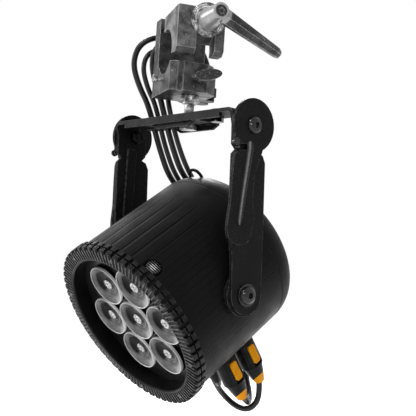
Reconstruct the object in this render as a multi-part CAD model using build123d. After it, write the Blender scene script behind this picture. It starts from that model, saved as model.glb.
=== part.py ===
"""Par can light: an LED head in a double yoke, hung from a truss tube by a quick clamp.

Millimetres, +Z up. The origin lies on the truss tube's axis, straight above the pan axis.
The tilt axis runs along X, and at rest the beam points towards -Y and down.
"""
from build123d import *
from math import cos, pi, radians, sin, sqrt, tan
import os

# ---------------------------------------------------------------- main size and clearances
HOUSING_FRONT_RADIUS = 98.5
HOUSING_TAPER = 1.5     # how much narrower the housing is at its rear
RUNNING_FIT = 0.05      # radial play of a turning or sliding fit
LOOSE_FIT = 0.3         # play between pieces that only pass each other

# ---------------------------------------------------------------- clamp, in (front, along, up) axes
TUBE_RADIUS = 25.0
TUBE_TURN = 70.0        # heading of the truss tube, from +X towards +Y
TUBE_PLAY = 0.1
BASE_BOTTOM = -46.0
BASE_FRONT = 30.0
BASE_REAR = -43.0
BASE_TOP = 44.0
BASE_LIP = -14.0
BASE_LEFT = -33.0
BASE_RIGHT = 23.0
BASE_CORNER = 14.0
GROOVE_WIDTH = 6.0
GROOVE_DEPTH = 3.0
GROOVE_PLACE = -22.0
JAW_FRONT = 42.0
JAW_REAR = -8.0
JAW_TOP = 45.0
JAW_SLOPE = 4.0
JAW_TIP = -6.0
JAW_RIGHT = 21.5
CLAW_LEFT_EDGE = -11.0
CLAW_RIGHT_EDGE = 10.6
CLAMP_SCREW_Z = 31.0
CLAMP_SCREW_RADIUS = 5.0
CLAMP_SCREW_END = 80.0
NUT_RADIUS = 8.0
NUT_HEIGHT = 6.0
WASHER_RADIUS = 19.0
WASHER_THICKNESS = 4.0
HUB_ROOT_RADIUS = 12.0
HUB_TIP_RADIUS = 9.0
HUB_LENGTH = 41.0
HUB_CAP = 6.5
HANDLE_LENGTH = 81.0
HANDLE_DROP = 26.0      # degrees below the tube's direction
HANDLE_ROOT_HALF = 8.5
HANDLE_TIP_HALF = 5.0
HANDLE_THICKNESS = 9.0
LOCK_HEIGHT = -31.5
WING_SCREW_RADIUS = 3.0
WING_PLACE = 50.0
WING_LENGTH = 31.0
WING_HEIGHT = 12.0
WING_TURN = 12.0        # degrees above the tube's direction
WING_THICKNESS = 10.0
LOCK_PIN_RADIUS = 2.5
LOCK_PIN_HEAD = 4.5
LOCK_PIN_REACH = 12.0
STRAP_THICKNESS = 2.0

# ---------------------------------------------------------------- spigot
SPIGOT_RADIUS = 8.4
SPIGOT_TOP = -29.5
SPIGOT_SHOULDER = -55.8
SPIGOT_FLANGE_RADIUS = 10.0
SPIGOT_FLANGE = 3.6
SPIGOT_NECK_RADIUS = 5.4
SPIGOT_NUT = 6.0

# ---------------------------------------------------------------- yoke
PIVOT_Z = -87.3         # axis of the folding legs
TILT_Y = 7.0            # axis that the head tilts on
TILT_Z = -262.4
ARM_GAP = 4.2           # between the arms and the head's round body
PLATE = 4.0
ARM_INSIDE = HOUSING_FRONT_RADIUS + ARM_GAP
YOKE_HALF = ARM_INSIDE + PLATE
ARM_END_RADIUS = 20.5
BEND_RADIUS = 7.0
CROSSBAR_TOP = -71.7
CROSSBAR_UNDER = CROSSBAR_TOP - PLATE
CROSSBAR_FRONT = -28.0
CROSSBAR_REAR = 4.0
LIP_DROP = 8.6
LIP_HALF = 86.0
CHANNEL_HALF = 38.0
CHANNEL_DEPTH = 9.0
CHANNEL_REACH = 14.0
CHANNEL_WALL = 3.0
NOTCH_DEPTH = 5.0
NOTCH_Z = -27.0
RIB_HEIGHT = 2.0
ANCHOR_X = 60.0
ANCHOR_Y = -8.0
ANCHOR_RADIUS = 4.0
TIE_LEFT = -92.0
TIE_RIGHT = -40.0
TIE_REAR = 21.0
TIE_THICKNESS = 2.0

# ---------------------------------------------------------------- folding legs
LEG_GAP = 0.5
LEG_THICKNESS = 3.5
LEG_DISC_RADIUS = 28.0
LEG_RIB_HEIGHT = 1.6
LEG_RIB_HALF = 3.0
LEFT_LEG_SWING = 3.0    # degrees, towards the rear
PIVOT_BOLT_RADIUS = 5.0
PIVOT_HEAD_RADIUS = 9.0
PIVOT_HEAD = 4.0
STOP_PIN_RADIUS = 2.5

# ---------------------------------------------------------------- head, in (x, up, beam) axes
HEAD_TILT = 35.47       # beam below the horizon, degrees
BEZEL_STEP = 2.9        # how far the bezel stands out past the housing
BEZEL_RADIUS = HOUSING_FRONT_RADIUS + BEZEL_STEP
BEZEL_RIM = 17.0
BEZEL_BORE = BEZEL_RADIUS - BEZEL_RIM
BEZEL_CHAMFER = 2.0
BEZEL_BACK = 66.0
BEZEL_FRONT = 79.5
BEZEL_LAND = 3.0
BLOCKS = 40
HOUSING_REAR_RADIUS = HOUSING_FRONT_RADIUS - HOUSING_TAPER
HOUSING_REAR = -65.0
HOUSING_WALL = 3.0
COVER_REAR = -102.0
COVER_ROUND = 34.0
COVER_WALL = 3.0
SEAL_THICKNESS = 1.0
EYE_X = 2.0
EYE_PLACE = -84.0
EYE_RADIUS = 10.0
EYE_WIRE = 1.8
SCREW_COUNT = 8
SCREW_RADIUS = 1.6
BUTTON_RADIUS = 5.0
BUTTON_LEVEL = -4.0
BUTTON_PLACES = (-30.0, -10.0, 10.0, 30.0)
WINDOW_HALF = 28.0
WINDOW_LOW = 16.0
WINDOW_HIGH = 42.0
LENS_PITCH = 49.5
LENS_RADIUS = 23.7
LENS_NECK = 9.0
LENS_FRONT = 67.0
LENS_DEPTH = 22.0
MASK_BACK = 58.0
MASK_THICKNESS = 2.5
HOLDER_WALL = 1.2
EMITTER_RADIUS = 6.0
BOARD_THICKNESS = 1.6
SUPPLY_WIDTH = 90.0
SUPPLY_HEIGHT = 70.0
SUPPLY_LENGTH = 40.0
CIRCUIT_WIDTH = 110.0
CIRCUIT_HEIGHT = 90.0
CIRCUIT_GAP = 22.0      # between the cover's rear wall and its board
POST_RADIUS = 3.0
POST_X = 44.0
POST_UP = 34.0
HEATSINK_FRONT = 41.0
HEATSINK_REAR = -6.0
HEATSINK_PLATE = 8.0
FIN_COUNT = 13
FIN_THICKNESS = 2.5
GRILLE_RADIUS = 11.0
GRILLE_TURN = 44.0      # from +X towards up
GRILLE_PLACE = 60.0
GRILLE_BAR_PITCH = 2.2
GRILLE_BAR_GAP = 1.2
PANEL_DROP = 9.0
PANEL_LEVEL = PANEL_DROP - HOUSING_REAR_RADIUS
PANEL_FRONT = 18.0
PANEL_REAR = -58.0
PANEL_THICKNESS = 3.0
BOSS_RADIUS = 22.5
AXIS_UP = -5.28         # the tilt axis in the head's own axes
AXIS_PLACE = -4.83
TILT_BOLT_RADIUS = 5.0
TILT_HEAD_RADIUS = 9.5
TILT_HEAD = 5.0
TILT_WASHER_RADIUS = 12.0
TILT_WASHER = 1.5

# ---------------------------------------------------------------- plugs and leads
POWER_X = 17.0
DATA_X = -19.0
REAR_PLUG = -35.0
FRONT_PLUG = -3.0
SOCKET_DEPTH = 12.0
POWER_SOCKET_RADIUS = 13.0
DATA_SOCKET_RADIUS = 8.5
POWER_PLUG_RADIUS = 13.5
POWER_PLUG_LENGTH = 32.0
POWER_BOOT_LENGTH = 18.0
COLLAR_LENGTH = 7.0
COLLAR_RADIUS = 8.0
DATA_PLUG_RADIUS = 9.0
DATA_PLUG_LENGTH = 24.0
DATA_BOOT_LENGTH = 16.0
LATCH_WIDTH = 10.0
LATCH_LENGTH = 24.0
LATCH_THICKNESS = 3.0
LATCH_TRAVEL = 3.0
POWER_LEAD = 7.0
DATA_LEAD = 6.0

CLAMP = Plane(
    origin=(0, 0, 0),
    x_dir=(sin(radians(TUBE_TURN)), -cos(radians(TUBE_TURN)), 0),
    z_dir=(0, 0, 1),
).location
# The head's own origin, set so that the tilt axis passes through its place in the head.
HEAD_Y = TILT_Y + AXIS_PLACE * cos(radians(HEAD_TILT)) + AXIS_UP * sin(radians(HEAD_TILT))
HEAD_Z = TILT_Z + AXIS_PLACE * sin(radians(HEAD_TILT)) - AXIS_UP * cos(radians(HEAD_TILT))
HEAD = Plane(
    origin=(0, HEAD_Y, HEAD_Z),
    x_dir=(1, 0, 0),
    z_dir=(0, -cos(radians(HEAD_TILT)), -sin(radians(HEAD_TILT))),
).location

nodes = {}


# ---------------------------------------------------------------- drawing helpers
def rod(radius, start, length, direction=(0, 0, 1)):
    """A round bar that runs from start along the direction."""
    placed = Plane(origin=start, z_dir=direction)
    return placed * Cylinder(radius, length, align=(Align.CENTER, Align.CENTER, Align.MIN))


def hexagon(radius, start, length, direction=(0, 0, 1)):
    """A six-sided nut or bolt head."""
    placed = Plane(origin=start, z_dir=direction)
    return extrude(placed * RegularPolygon(radius, 6), amount=length, dir=direction)


def button_head(radius, start, height, direction=(0, 0, 1)):
    """A domed bolt head with a hex recess."""
    dome = turned(
        [
            (0, 0),
            (radius, 0),
            (radius, 0.2 * height),
            (0.93 * radius, 0.55 * height),
            (0.72 * radius, 0.85 * height),
            (0.4 * radius, height),
            (0, height),
        ]
    )
    recess = hexagon(0.38 * radius, (0, 0, 0.4 * height), height)
    return Plane(origin=start, z_dir=direction) * (dome - recess)


def block(low, high):
    """A box between two opposite corners."""
    size = [b - a for a, b in zip(low, high)]
    middle = [(a + b) / 2 for a, b in zip(low, high)]
    return Pos(*middle) * Box(*size)


def slab(outline, start, thickness, rounding=0.0):
    """An outline in Y and Z, made thick along X."""
    face = Polygon(*outline, align=None)
    if rounding:
        face = fillet(face.vertices(), rounding)
    return extrude(Plane.YZ.offset(start) * face, amount=thickness)


def side_slab(outline, start, thickness, rounding=0.0):
    """An outline in X and Z, made thick along Y."""
    face = Polygon(*outline, align=None)
    if rounding:
        face = fillet(face.vertices(), rounding)
    return extrude(Plane.XZ.offset(-start) * face, amount=thickness, dir=(0, 1, 0))


def turned(outline):
    """A solid of revolution about Z from an outline of radius and height."""
    return revolve(Plane.XZ * Polygon(*outline, align=None), axis=Axis.Z)


def ring(outer, inner, low, high):
    """A flat ring about Z."""
    return rod(outer, (0, 0, low), high - low) - rod(inner, (0, 0, low), high - low)


def group(pieces):
    """Several separate solids as one node."""
    return Compound([solid for piece in pieces for solid in piece.solids()])


# ---------------------------------------------------------------- clamp
FRONTWARD = (1, 0, 0)
ALONG = (0, 1, 0)


def tube_space(low, high):
    """The truss tube's own space, with the play that the clamp leaves round it."""
    return rod(TUBE_RADIUS + TUBE_PLAY, (0, low, 0), high - low, ALONG)


def clamp_base():
    lower = block((BASE_REAR, BASE_LEFT, BASE_BOTTOM), (BASE_FRONT, BASE_RIGHT, BASE_LIP))
    rear_wall = block((BASE_REAR, BASE_LEFT, BASE_LIP), (-TUBE_RADIUS - TUBE_PLAY, BASE_RIGHT, BASE_TOP))
    body = lower + rear_wall
    upright = body.edges().filter_by(Axis.Z)
    front_right = upright.group_by(Axis.X)[-1].sort_by(Axis.Y)[-1]
    body = chamfer(front_right, BASE_CORNER)
    front_left = body.edges().filter_by(Axis.Z).group_by(Axis.X)[-1].sort_by(Axis.Y)[0]
    body = chamfer(front_left, BASE_CORNER / 2)
    body = body - tube_space(BASE_LEFT, BASE_RIGHT)
    groove = block(
        (BASE_FRONT - GROOVE_DEPTH, GROOVE_PLACE - GROOVE_WIDTH / 2, BASE_BOTTOM),
        (BASE_FRONT, GROOVE_PLACE + GROOVE_WIDTH / 2, BASE_LIP),
    )
    spigot_bore = rod(SPIGOT_RADIUS + RUNNING_FIT, (0, 0, BASE_BOTTOM), SPIGOT_TOP + LOOSE_FIT - BASE_BOTTOM)
    wing_bore = rod(WING_SCREW_RADIUS + RUNNING_FIT, (0, 0, LOCK_HEIGHT), BASE_FRONT, FRONTWARD)
    pin_bore = rod(LOCK_PIN_RADIUS + RUNNING_FIT, (0, BASE_LEFT, LOCK_HEIGHT), -BASE_LEFT, ALONG)
    screw_bore = rod(CLAMP_SCREW_RADIUS, (BASE_REAR, 0, CLAMP_SCREW_Z), -BASE_REAR, FRONTWARD)
    return body - groove - spigot_bore - wing_bore - pin_bore - screw_bore


def clamp_screw():
    shaft = rod(CLAMP_SCREW_RADIUS, (BASE_REAR, 0, CLAMP_SCREW_Z), CLAMP_SCREW_END - BASE_REAR, FRONTWARD)
    return shaft + hexagon(NUT_RADIUS, (BASE_REAR - NUT_HEIGHT, 0, CLAMP_SCREW_Z), NUT_HEIGHT, FRONTWARD)


def clamp_jaw():
    side = [
        (0, JAW_TIP),
        (JAW_FRONT - 5, JAW_TIP),
        (JAW_FRONT, JAW_TIP + 5),
        (JAW_FRONT, JAW_TOP),
        (JAW_REAR, JAW_TOP - JAW_SLOPE),
        (JAW_REAR, 0),
    ]
    left = side_slab(side, BASE_LEFT, CLAW_LEFT_EDGE - BASE_LEFT)
    right = side_slab(side, CLAW_RIGHT_EDGE, JAW_RIGHT - CLAW_RIGHT_EDGE)
    bridge = side_slab(
        [
            (TUBE_RADIUS / 2, 0),
            (JAW_FRONT, CLAMP_SCREW_Z - 2 * CLAMP_SCREW_RADIUS),
            (JAW_FRONT, JAW_TOP),
            (JAW_REAR, JAW_TOP - JAW_SLOPE),
            (JAW_REAR, 0),
        ],
        CLAW_LEFT_EDGE,
        CLAW_RIGHT_EDGE - CLAW_LEFT_EDGE,
    )
    screw_hole = rod(
        CLAMP_SCREW_RADIUS + LOOSE_FIT, (JAW_REAR, 0, CLAMP_SCREW_Z), JAW_FRONT - JAW_REAR, FRONTWARD
    )
    return left + right + bridge - tube_space(BASE_LEFT, BASE_RIGHT) - screw_hole


HUB_START = JAW_FRONT + WASHER_THICKNESS + LOOSE_FIT
HUB_END = HUB_START + HUB_LENGTH


def clamp_washer():
    disc = rod(WASHER_RADIUS, (JAW_FRONT, 0, CLAMP_SCREW_Z), WASHER_THICKNESS, FRONTWARD)
    hole = rod(CLAMP_SCREW_RADIUS + LOOSE_FIT, (JAW_FRONT, 0, CLAMP_SCREW_Z), WASHER_THICKNESS, FRONTWARD)
    return disc - hole


def ratchet_handle():
    axis_start = Pos(HUB_START, 0, CLAMP_SCREW_Z) * Rot(0, 90, 0)
    hub = axis_start * Cone(
        HUB_ROOT_RADIUS, HUB_TIP_RADIUS, HUB_LENGTH, align=(Align.CENTER, Align.CENTER, Align.MIN)
    )
    lever_face = Polygon(
        (0, -HANDLE_ROOT_HALF),
        (HANDLE_LENGTH, -HANDLE_TIP_HALF),
        (HANDLE_LENGTH, HANDLE_TIP_HALF),
        (0, HANDLE_ROOT_HALF),
        align=None,
    )
    lever = extrude(Plane.YZ * lever_face, amount=HANDLE_THICKNESS)
    lever = Pos(HUB_END - HANDLE_THICKNESS - 3, 0, CLAMP_SCREW_Z) * Rot(-HANDLE_DROP, 0, 0) * lever
    bore = rod(
        CLAMP_SCREW_RADIUS + RUNNING_FIT,
        (HUB_START, 0, CLAMP_SCREW_Z),
        CLAMP_SCREW_END + LOOSE_FIT - HUB_START,
        FRONTWARD,
    )
    cap = rod(HUB_CAP, (HUB_END - 2, 0, CLAMP_SCREW_Z), 2, FRONTWARD)
    return hub + lever - bore - cap


def handle_screw():
    head = rod(HUB_CAP, (HUB_END - 2, 0, CLAMP_SCREW_Z), 1.5, FRONTWARD)
    return head - hexagon(HUB_CAP / 2, (HUB_END - 1.5, 0, CLAMP_SCREW_Z), 1, FRONTWARD)


def wing_screw():
    tip = SPIGOT_RADIUS + LOOSE_FIT
    shaft = rod(WING_SCREW_RADIUS, (tip, 0, LOCK_HEIGHT), WING_PLACE - tip, FRONTWARD)
    collar = rod(2 * WING_SCREW_RADIUS, (BASE_FRONT + LOOSE_FIT, 0, LOCK_HEIGHT), 8, FRONTWARD)
    wing_face = Plane.YZ.offset(WING_PLACE) * Ellipse(WING_LENGTH / 2, WING_HEIGHT / 2)
    wing = Pos(0, 0, LOCK_HEIGHT) * Rot(WING_TURN, 0, 0) * extrude(wing_face, amount=WING_THICKNESS)
    return shaft + collar + wing


def lock_pin():
    tip = -SPIGOT_RADIUS - LOOSE_FIT
    end = BASE_LEFT - LOCK_PIN_REACH
    shaft = rod(LOCK_PIN_RADIUS, (0, end, LOCK_HEIGHT), tip - end, ALONG)
    head = rod(LOCK_PIN_HEAD, (0, end, LOCK_HEIGHT), LOCK_PIN_RADIUS * 1.6, ALONG)
    return shaft + head


def spigot():
    profile = [
        (0, SPIGOT_TOP),
        (SPIGOT_RADIUS, SPIGOT_TOP),
        (SPIGOT_RADIUS, BASE_BOTTOM - LOOSE_FIT),
        (SPIGOT_FLANGE_RADIUS, BASE_BOTTOM - LOOSE_FIT),
        (SPIGOT_FLANGE_RADIUS, BASE_BOTTOM - LOOSE_FIT - SPIGOT_FLANGE),
        (SPIGOT_RADIUS, BASE_BOTTOM - LOOSE_FIT - SPIGOT_FLANGE),
        (SPIGOT_RADIUS, SPIGOT_SHOULDER),
        (SPIGOT_NECK_RADIUS, SPIGOT_SHOULDER),
        (SPIGOT_NECK_RADIUS, CROSSBAR_TOP - PLATE - CHANNEL_WALL),
        (0, CROSSBAR_TOP - PLATE - CHANNEL_WALL),
    ]
    stem = turned(profile)
    flange = rod(SPIGOT_FLANGE_RADIUS, (0, 0, CROSSBAR_TOP), 2)
    nut_top = CROSSBAR_TOP - PLATE - CHANNEL_WALL
    return stem + flange + hexagon(SPIGOT_FLANGE_RADIUS, (0, 0, nut_top - SPIGOT_NUT), SPIGOT_NUT)


nodes["clamp_base"] = CLAMP * clamp_base()
nodes["clamp_screw"] = CLAMP * clamp_screw()
nodes["clamp_jaw"] = CLAMP * clamp_jaw()
nodes["clamp_washer"] = CLAMP * clamp_washer()
nodes["ratchet_handle"] = CLAMP * ratchet_handle()
nodes["handle_screw"] = CLAMP * handle_screw()
nodes["wing_screw"] = CLAMP * wing_screw()
nodes["lock_pin"] = CLAMP * lock_pin()
nodes["spigot"] = spigot()


# ---------------------------------------------------------------- yoke


def both_sides(solid):
    """A piece and its mirror image on the other side of the head."""
    return [solid, mirror(solid, Plane.YZ)]


def yoke_bracket():
    bottom = TILT_Z - ARM_END_RADIUS - PLATE
    outer = fillet(
        Polygon(
            (-YOKE_HALF, bottom), (YOKE_HALF, bottom), (YOKE_HALF, CROSSBAR_TOP), (-YOKE_HALF, CROSSBAR_TOP),
            align=None,
        ).vertices().group_by(Axis.Y)[-1],
        BEND_RADIUS,
    )
    inner = fillet(
        Polygon(
            (-ARM_INSIDE, bottom), (ARM_INSIDE, bottom),
            (ARM_INSIDE, CROSSBAR_UNDER), (-ARM_INSIDE, CROSSBAR_UNDER),
            align=None,
        ).vertices().group_by(Axis.Y)[-1],
        BEND_RADIUS - PLATE,
    )
    depth = 2 * CHANNEL_HALF
    bent_plate = extrude(Plane.XZ.offset(depth / 2) * (outer - inner), amount=depth, dir=(0, 1, 0))
    below = PIVOT_Z
    side_view = slab(
        [
            (CROSSBAR_FRONT, CROSSBAR_TOP),
            (CROSSBAR_FRONT, CROSSBAR_UNDER),
            (-24.6, below - 2),
            (-23.6, NOTCH_Z + below + NOTCH_DEPTH),
            (-23.6 + NOTCH_DEPTH, NOTCH_Z + below),
            (-23.4, NOTCH_Z + below - NOTCH_DEPTH),
            (-21, below - 105),
            (TILT_Y - ARM_END_RADIUS - 2, TILT_Z + 37),
            (TILT_Y - ARM_END_RADIUS, TILT_Z),
            (TILT_Y + ARM_END_RADIUS, TILT_Z),
            (24.8, TILT_Z + 74),
            (22, NOTCH_Z + below - 2 * NOTCH_DEPTH),
            (18, NOTCH_Z + below - NOTCH_DEPTH / 2),
            (17 - NOTCH_DEPTH, NOTCH_Z + below),
            (16.6, NOTCH_Z + below + NOTCH_DEPTH),
            (15.6, below),
            (CROSSBAR_REAR, CROSSBAR_UNDER),
            (CROSSBAR_REAR, CROSSBAR_TOP),
        ],
        -YOKE_HALF,
        2 * YOKE_HALF,
    )
    arm_end = rod(ARM_END_RADIUS, (-YOKE_HALF, TILT_Y, TILT_Z), 2 * YOKE_HALF, (1, 0, 0))
    body = bent_plate & (side_view + arm_end)
    lip = block(
        (-LIP_HALF, CROSSBAR_FRONT, CROSSBAR_TOP - LIP_DROP), (LIP_HALF, CROSSBAR_FRONT + PLATE, CROSSBAR_TOP)
    )
    ledge = block((-CHANNEL_HALF, 0, CROSSBAR_UNDER), (CHANNEL_HALF, CHANNEL_REACH, CROSSBAR_TOP))
    rib = block((ARM_INSIDE - RIB_HEIGHT, -10.5, below - 100), (ARM_INSIDE, 1.8, below - 15))
    body = body + lip + ledge
    for half in both_sides(rib):
        body = body + half
    holes = [
        rod(SPIGOT_NECK_RADIUS, (0, 0, CROSSBAR_UNDER), PLATE),
        rod(ANCHOR_RADIUS, (ANCHOR_X, ANCHOR_Y, CROSSBAR_UNDER), PLATE),
        rod(ANCHOR_RADIUS + 1, (-ANCHOR_X - ANCHOR_RADIUS, ANCHOR_Y, CROSSBAR_UNDER), PLATE),
        rod(PIVOT_BOLT_RADIUS, (-YOKE_HALF, 0, PIVOT_Z), 2 * YOKE_HALF, (1, 0, 0)),
        rod(TILT_BOLT_RADIUS + LOOSE_FIT, (-YOKE_HALF, TILT_Y, TILT_Z), 2 * YOKE_HALF, (1, 0, 0)),
    ]
    for hole in holes:
        body = body - hole
    return body


def yoke_channel():
    top = CROSSBAR_UNDER
    profile = [
        (-CHANNEL_HALF, top),
        (-CHANNEL_HALF, top - CHANNEL_DEPTH / 2),
        (-CHANNEL_HALF + CHANNEL_DEPTH, top - CHANNEL_DEPTH),
        (CHANNEL_HALF - CHANNEL_DEPTH, top - CHANNEL_DEPTH),
        (CHANNEL_HALF, top - CHANNEL_DEPTH / 2),
        (CHANNEL_HALF, top),
    ]
    front = CROSSBAR_FRONT + PLATE + LOOSE_FIT
    solid = side_slab(profile, front, CHANNEL_REACH - front)
    hollow = block(
        (-CHANNEL_HALF, front + CHANNEL_WALL, top - CHANNEL_DEPTH),
        (CHANNEL_HALF, CHANNEL_REACH - CHANNEL_WALL, top - CHANNEL_WALL),
    )
    return solid - hollow - rod(SPIGOT_NECK_RADIUS, (0, 0, top - CHANNEL_DEPTH), CHANNEL_DEPTH)


def pivot_bolts():
    outer_face = YOKE_HALF + LEG_GAP + LEG_THICKNESS + LOOSE_FIT
    outward = (1, 0, 0)
    nut_face = ARM_INSIDE - NUT_HEIGHT
    bolt = rod(PIVOT_BOLT_RADIUS, (nut_face, 0, PIVOT_Z), outer_face - nut_face, outward)
    bolt = bolt + button_head(PIVOT_HEAD_RADIUS, (outer_face, 0, PIVOT_Z), PIVOT_HEAD, outward)
    bolt = bolt + rod(PIVOT_HEAD_RADIUS, (YOKE_HALF, 0, PIVOT_Z), LEG_GAP - LOOSE_FIT, outward)
    bolt = bolt + hexagon(NUT_RADIUS, (ARM_INSIDE - NUT_HEIGHT, 0, PIVOT_Z), NUT_HEIGHT, outward)
    return group(both_sides(bolt))


def anchor_bolt():
    shaft = rod(ANCHOR_RADIUS, (ANCHOR_X, ANCHOR_Y, CROSSBAR_UNDER), PLATE)
    head = hexagon(1.8 * ANCHOR_RADIUS, (ANCHOR_X, ANCHOR_Y, CROSSBAR_TOP), ANCHOR_RADIUS)
    nut = hexagon(1.8 * ANCHOR_RADIUS, (ANCHOR_X, ANCHOR_Y, CROSSBAR_UNDER - NUT_HEIGHT), NUT_HEIGHT)
    return shaft + head + nut


# ---------------------------------------------------------------- folding legs
def leg():
    inside = YOKE_HALF + LEG_GAP
    z = PIVOT_Z
    outline = [
        (-24.3, z - 12),
        (-24.3, z - 36),
        (-26.7, z - 77),
        (-28.4, z - 105),
        (-26.3, z - 119),
        (-12.3, z - 124.6),
        (5.2, z - 119),
        (8.8, z - 92.6),
        (5.5, z - 75),
        (6.1, z - 49),
        (14, z - 29),
        (14, z - 12),
    ]
    plate = slab(outline, inside, LEG_THICKNESS, rounding=3)
    disc = rod(LEG_DISC_RADIUS, (inside, 0, PIVOT_Z), LEG_THICKNESS, (1, 0, 0))
    hole = rod(PIVOT_BOLT_RADIUS + LOOSE_FIT, (inside, 0, PIVOT_Z), LEG_THICKNESS, (1, 0, 0))
    pin_seat = rod(STOP_PIN_RADIUS, (inside, -24, PIVOT_Z - 20), LEG_THICKNESS, (1, 0, 0))
    slot = block((inside, -19, z - 27), (inside + LEG_THICKNESS, -6.5, z - 21.5))
    top = -2.5
    end = -11.5
    rib_outline = [
        (top - LEG_RIB_HALF, z - 24),
        (top + LEG_RIB_HALF, z - 24),
        (end + LEG_RIB_HALF, z - 98),
        (end, z - 102),
        (end - LEG_RIB_HALF, z - 98),
    ]
    rib = slab(rib_outline, inside + LEG_THICKNESS, LEG_RIB_HEIGHT, rounding=1)
    return plate + disc + rib - hole - pin_seat - slot


def swung(solid):
    """The left leg's pieces, mirrored and swung a little about the pivot."""
    pivot = Pos(0, 0, PIVOT_Z)
    return pivot * Rot(LEFT_LEG_SWING, 0, 0) * pivot.inverse() * mirror(solid, Plane.YZ)


def stop_pin():
    start = YOKE_HALF + LOOSE_FIT
    length = LEG_GAP - LOOSE_FIT + LEG_THICKNESS
    shank = rod(STOP_PIN_RADIUS, (start, -24, PIVOT_Z - 20), length + 2, (1, 0, 0))
    return shank + rod(STOP_PIN_RADIUS * 1.6, (start + length, -24, PIVOT_Z - 20), 2, (1, 0, 0))


leg_right_solid = leg()
stop_pin_solid = stop_pin()
nodes["yoke_bracket"] = yoke_bracket()
nodes["yoke_channel"] = yoke_channel()
nodes["pivot_bolts"] = pivot_bolts()
nodes["anchor_bolt"] = anchor_bolt()
nodes["leg_right"] = leg_right_solid
nodes["leg_left"] = swung(leg_right_solid)
nodes["stop_pin_right"] = stop_pin_solid
nodes["stop_pin_left"] = swung(stop_pin_solid)


# ---------------------------------------------------------------- head shells, in (x, up, beam) axes
HOUSING_FRONT = BEZEL_BACK - SEAL_THICKNESS
COVER_FRONT = HOUSING_REAR - SEAL_THICKNESS


def housing_radius(place):
    """The housing's outer radius at a place along the beam."""
    share = (place - HOUSING_REAR) / (HOUSING_FRONT - HOUSING_REAR)
    return HOUSING_REAR_RADIUS + share * (HOUSING_FRONT_RADIUS - HOUSING_REAR_RADIUS)


def housing_core(inset):
    """The housing's full round body, drawn in by the inset."""
    return turned(
        [
            (0, HOUSING_REAR),
            (HOUSING_REAR_RADIUS - inset, HOUSING_REAR),
            (HOUSING_FRONT_RADIUS - inset, HOUSING_FRONT),
            (0, HOUSING_FRONT),
        ]
    )


def outward(turn):
    """The direction across the beam at a turn from +X towards up."""
    return (cos(radians(turn)), sin(radians(turn)), 0)


def front_bezel():
    body = turned(
        [
            (BEZEL_BORE, BEZEL_BACK),
            (BEZEL_RADIUS, BEZEL_BACK),
            (BEZEL_RADIUS, BEZEL_FRONT - BEZEL_CHAMFER),
            (BEZEL_RADIUS - BEZEL_CHAMFER, BEZEL_FRONT),
            (BEZEL_BORE, BEZEL_FRONT),
        ]
    )
    skirt_radius = HOUSING_FRONT_RADIUS - HOUSING_WALL - LOOSE_FIT
    body = body + ring(skirt_radius, BEZEL_BORE, MASK_BACK, BEZEL_BACK)
    slot_width = BEZEL_RADIUS * pi / BLOCKS / 2
    slots = []
    for number in range(BLOCKS):
        slot = block(
            (BEZEL_RADIUS - BEZEL_LAND, -slot_width / 2, BEZEL_BACK), (BEZEL_RADIUS + 1, slot_width / 2, BEZEL_FRONT)
        )
        slots.append(Rot(0, 0, number * 360 / BLOCKS) * slot)
    body = body - slots
    return body - [screw_shaft(number) for number in range(SCREW_COUNT)]


SCREW_PLACE = (BEZEL_BACK + BEZEL_FRONT) / 2


def screw_shaft(number):
    """A short screw that stands in every fifth slot of the bezel."""
    way = outward(number * 360 / SCREW_COUNT)
    seat = BEZEL_RADIUS - BEZEL_LAND - 4
    return rod(SCREW_RADIUS, (way[0] * seat, way[1] * seat, SCREW_PLACE), 4 + BEZEL_LAND / 2, way)


def housing_seals():
    front = ring(HOUSING_FRONT_RADIUS - 0.5, HOUSING_FRONT_RADIUS - HOUSING_WALL, HOUSING_FRONT, BEZEL_BACK)
    rear = ring(HOUSING_REAR_RADIUS - 0.5, HOUSING_REAR_RADIUS - HOUSING_WALL, COVER_FRONT, HOUSING_REAR)
    return group([front, rear])


PANEL_HALF = sqrt(HOUSING_REAR_RADIUS**2 - PANEL_LEVEL**2)
PANEL_BACK = PANEL_LEVEL + PANEL_THICKNESS


def grille_port():
    way = outward(GRILLE_TURN)
    seat = HOUSING_REAR_RADIUS - 3 * HOUSING_WALL
    port = rod(GRILLE_RADIUS, (way[0] * seat, way[1] * seat, GRILLE_PLACE), 6 * HOUSING_WALL, way)
    return port & rod(HOUSING_FRONT_RADIUS * 2, (0, 0, HOUSING_REAR), HOUSING_FRONT - HOUSING_REAR)


def main_housing():
    shell = housing_core(0) - housing_core(HOUSING_WALL)
    panel_cut = block((-PANEL_HALF, -2 * HOUSING_FRONT_RADIUS, PANEL_REAR), (PANEL_HALF, PANEL_BACK, PANEL_FRONT))
    bolt_hole = rod(TILT_BOLT_RADIUS, (-YOKE_HALF, AXIS_UP, AXIS_PLACE), 2 * YOKE_HALF, (1, 0, 0))
    return shell - panel_cut - grille_port() - bolt_hole


def vent_grille():
    disc = grille_port() & (housing_core(0) - housing_core(HOUSING_WALL))
    slots = []
    for number in range(-4, 2):
        middle = GRILLE_PLACE + number * GRILLE_BAR_PITCH
        slot = block(
            (0, -GRILLE_RADIUS, middle - GRILLE_BAR_GAP / 2),
            (2 * HOUSING_FRONT_RADIUS, GRILLE_RADIUS, middle + GRILLE_BAR_GAP / 2),
        )
        slots.append(Rot(0, 0, GRILLE_TURN) * slot)
    kept = rod(GRILLE_RADIUS - 1.5, (0, 0, GRILLE_PLACE), 2 * HOUSING_FRONT_RADIUS, outward(GRILLE_TURN))
    return disc - [slot & kept for slot in slots]


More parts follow.
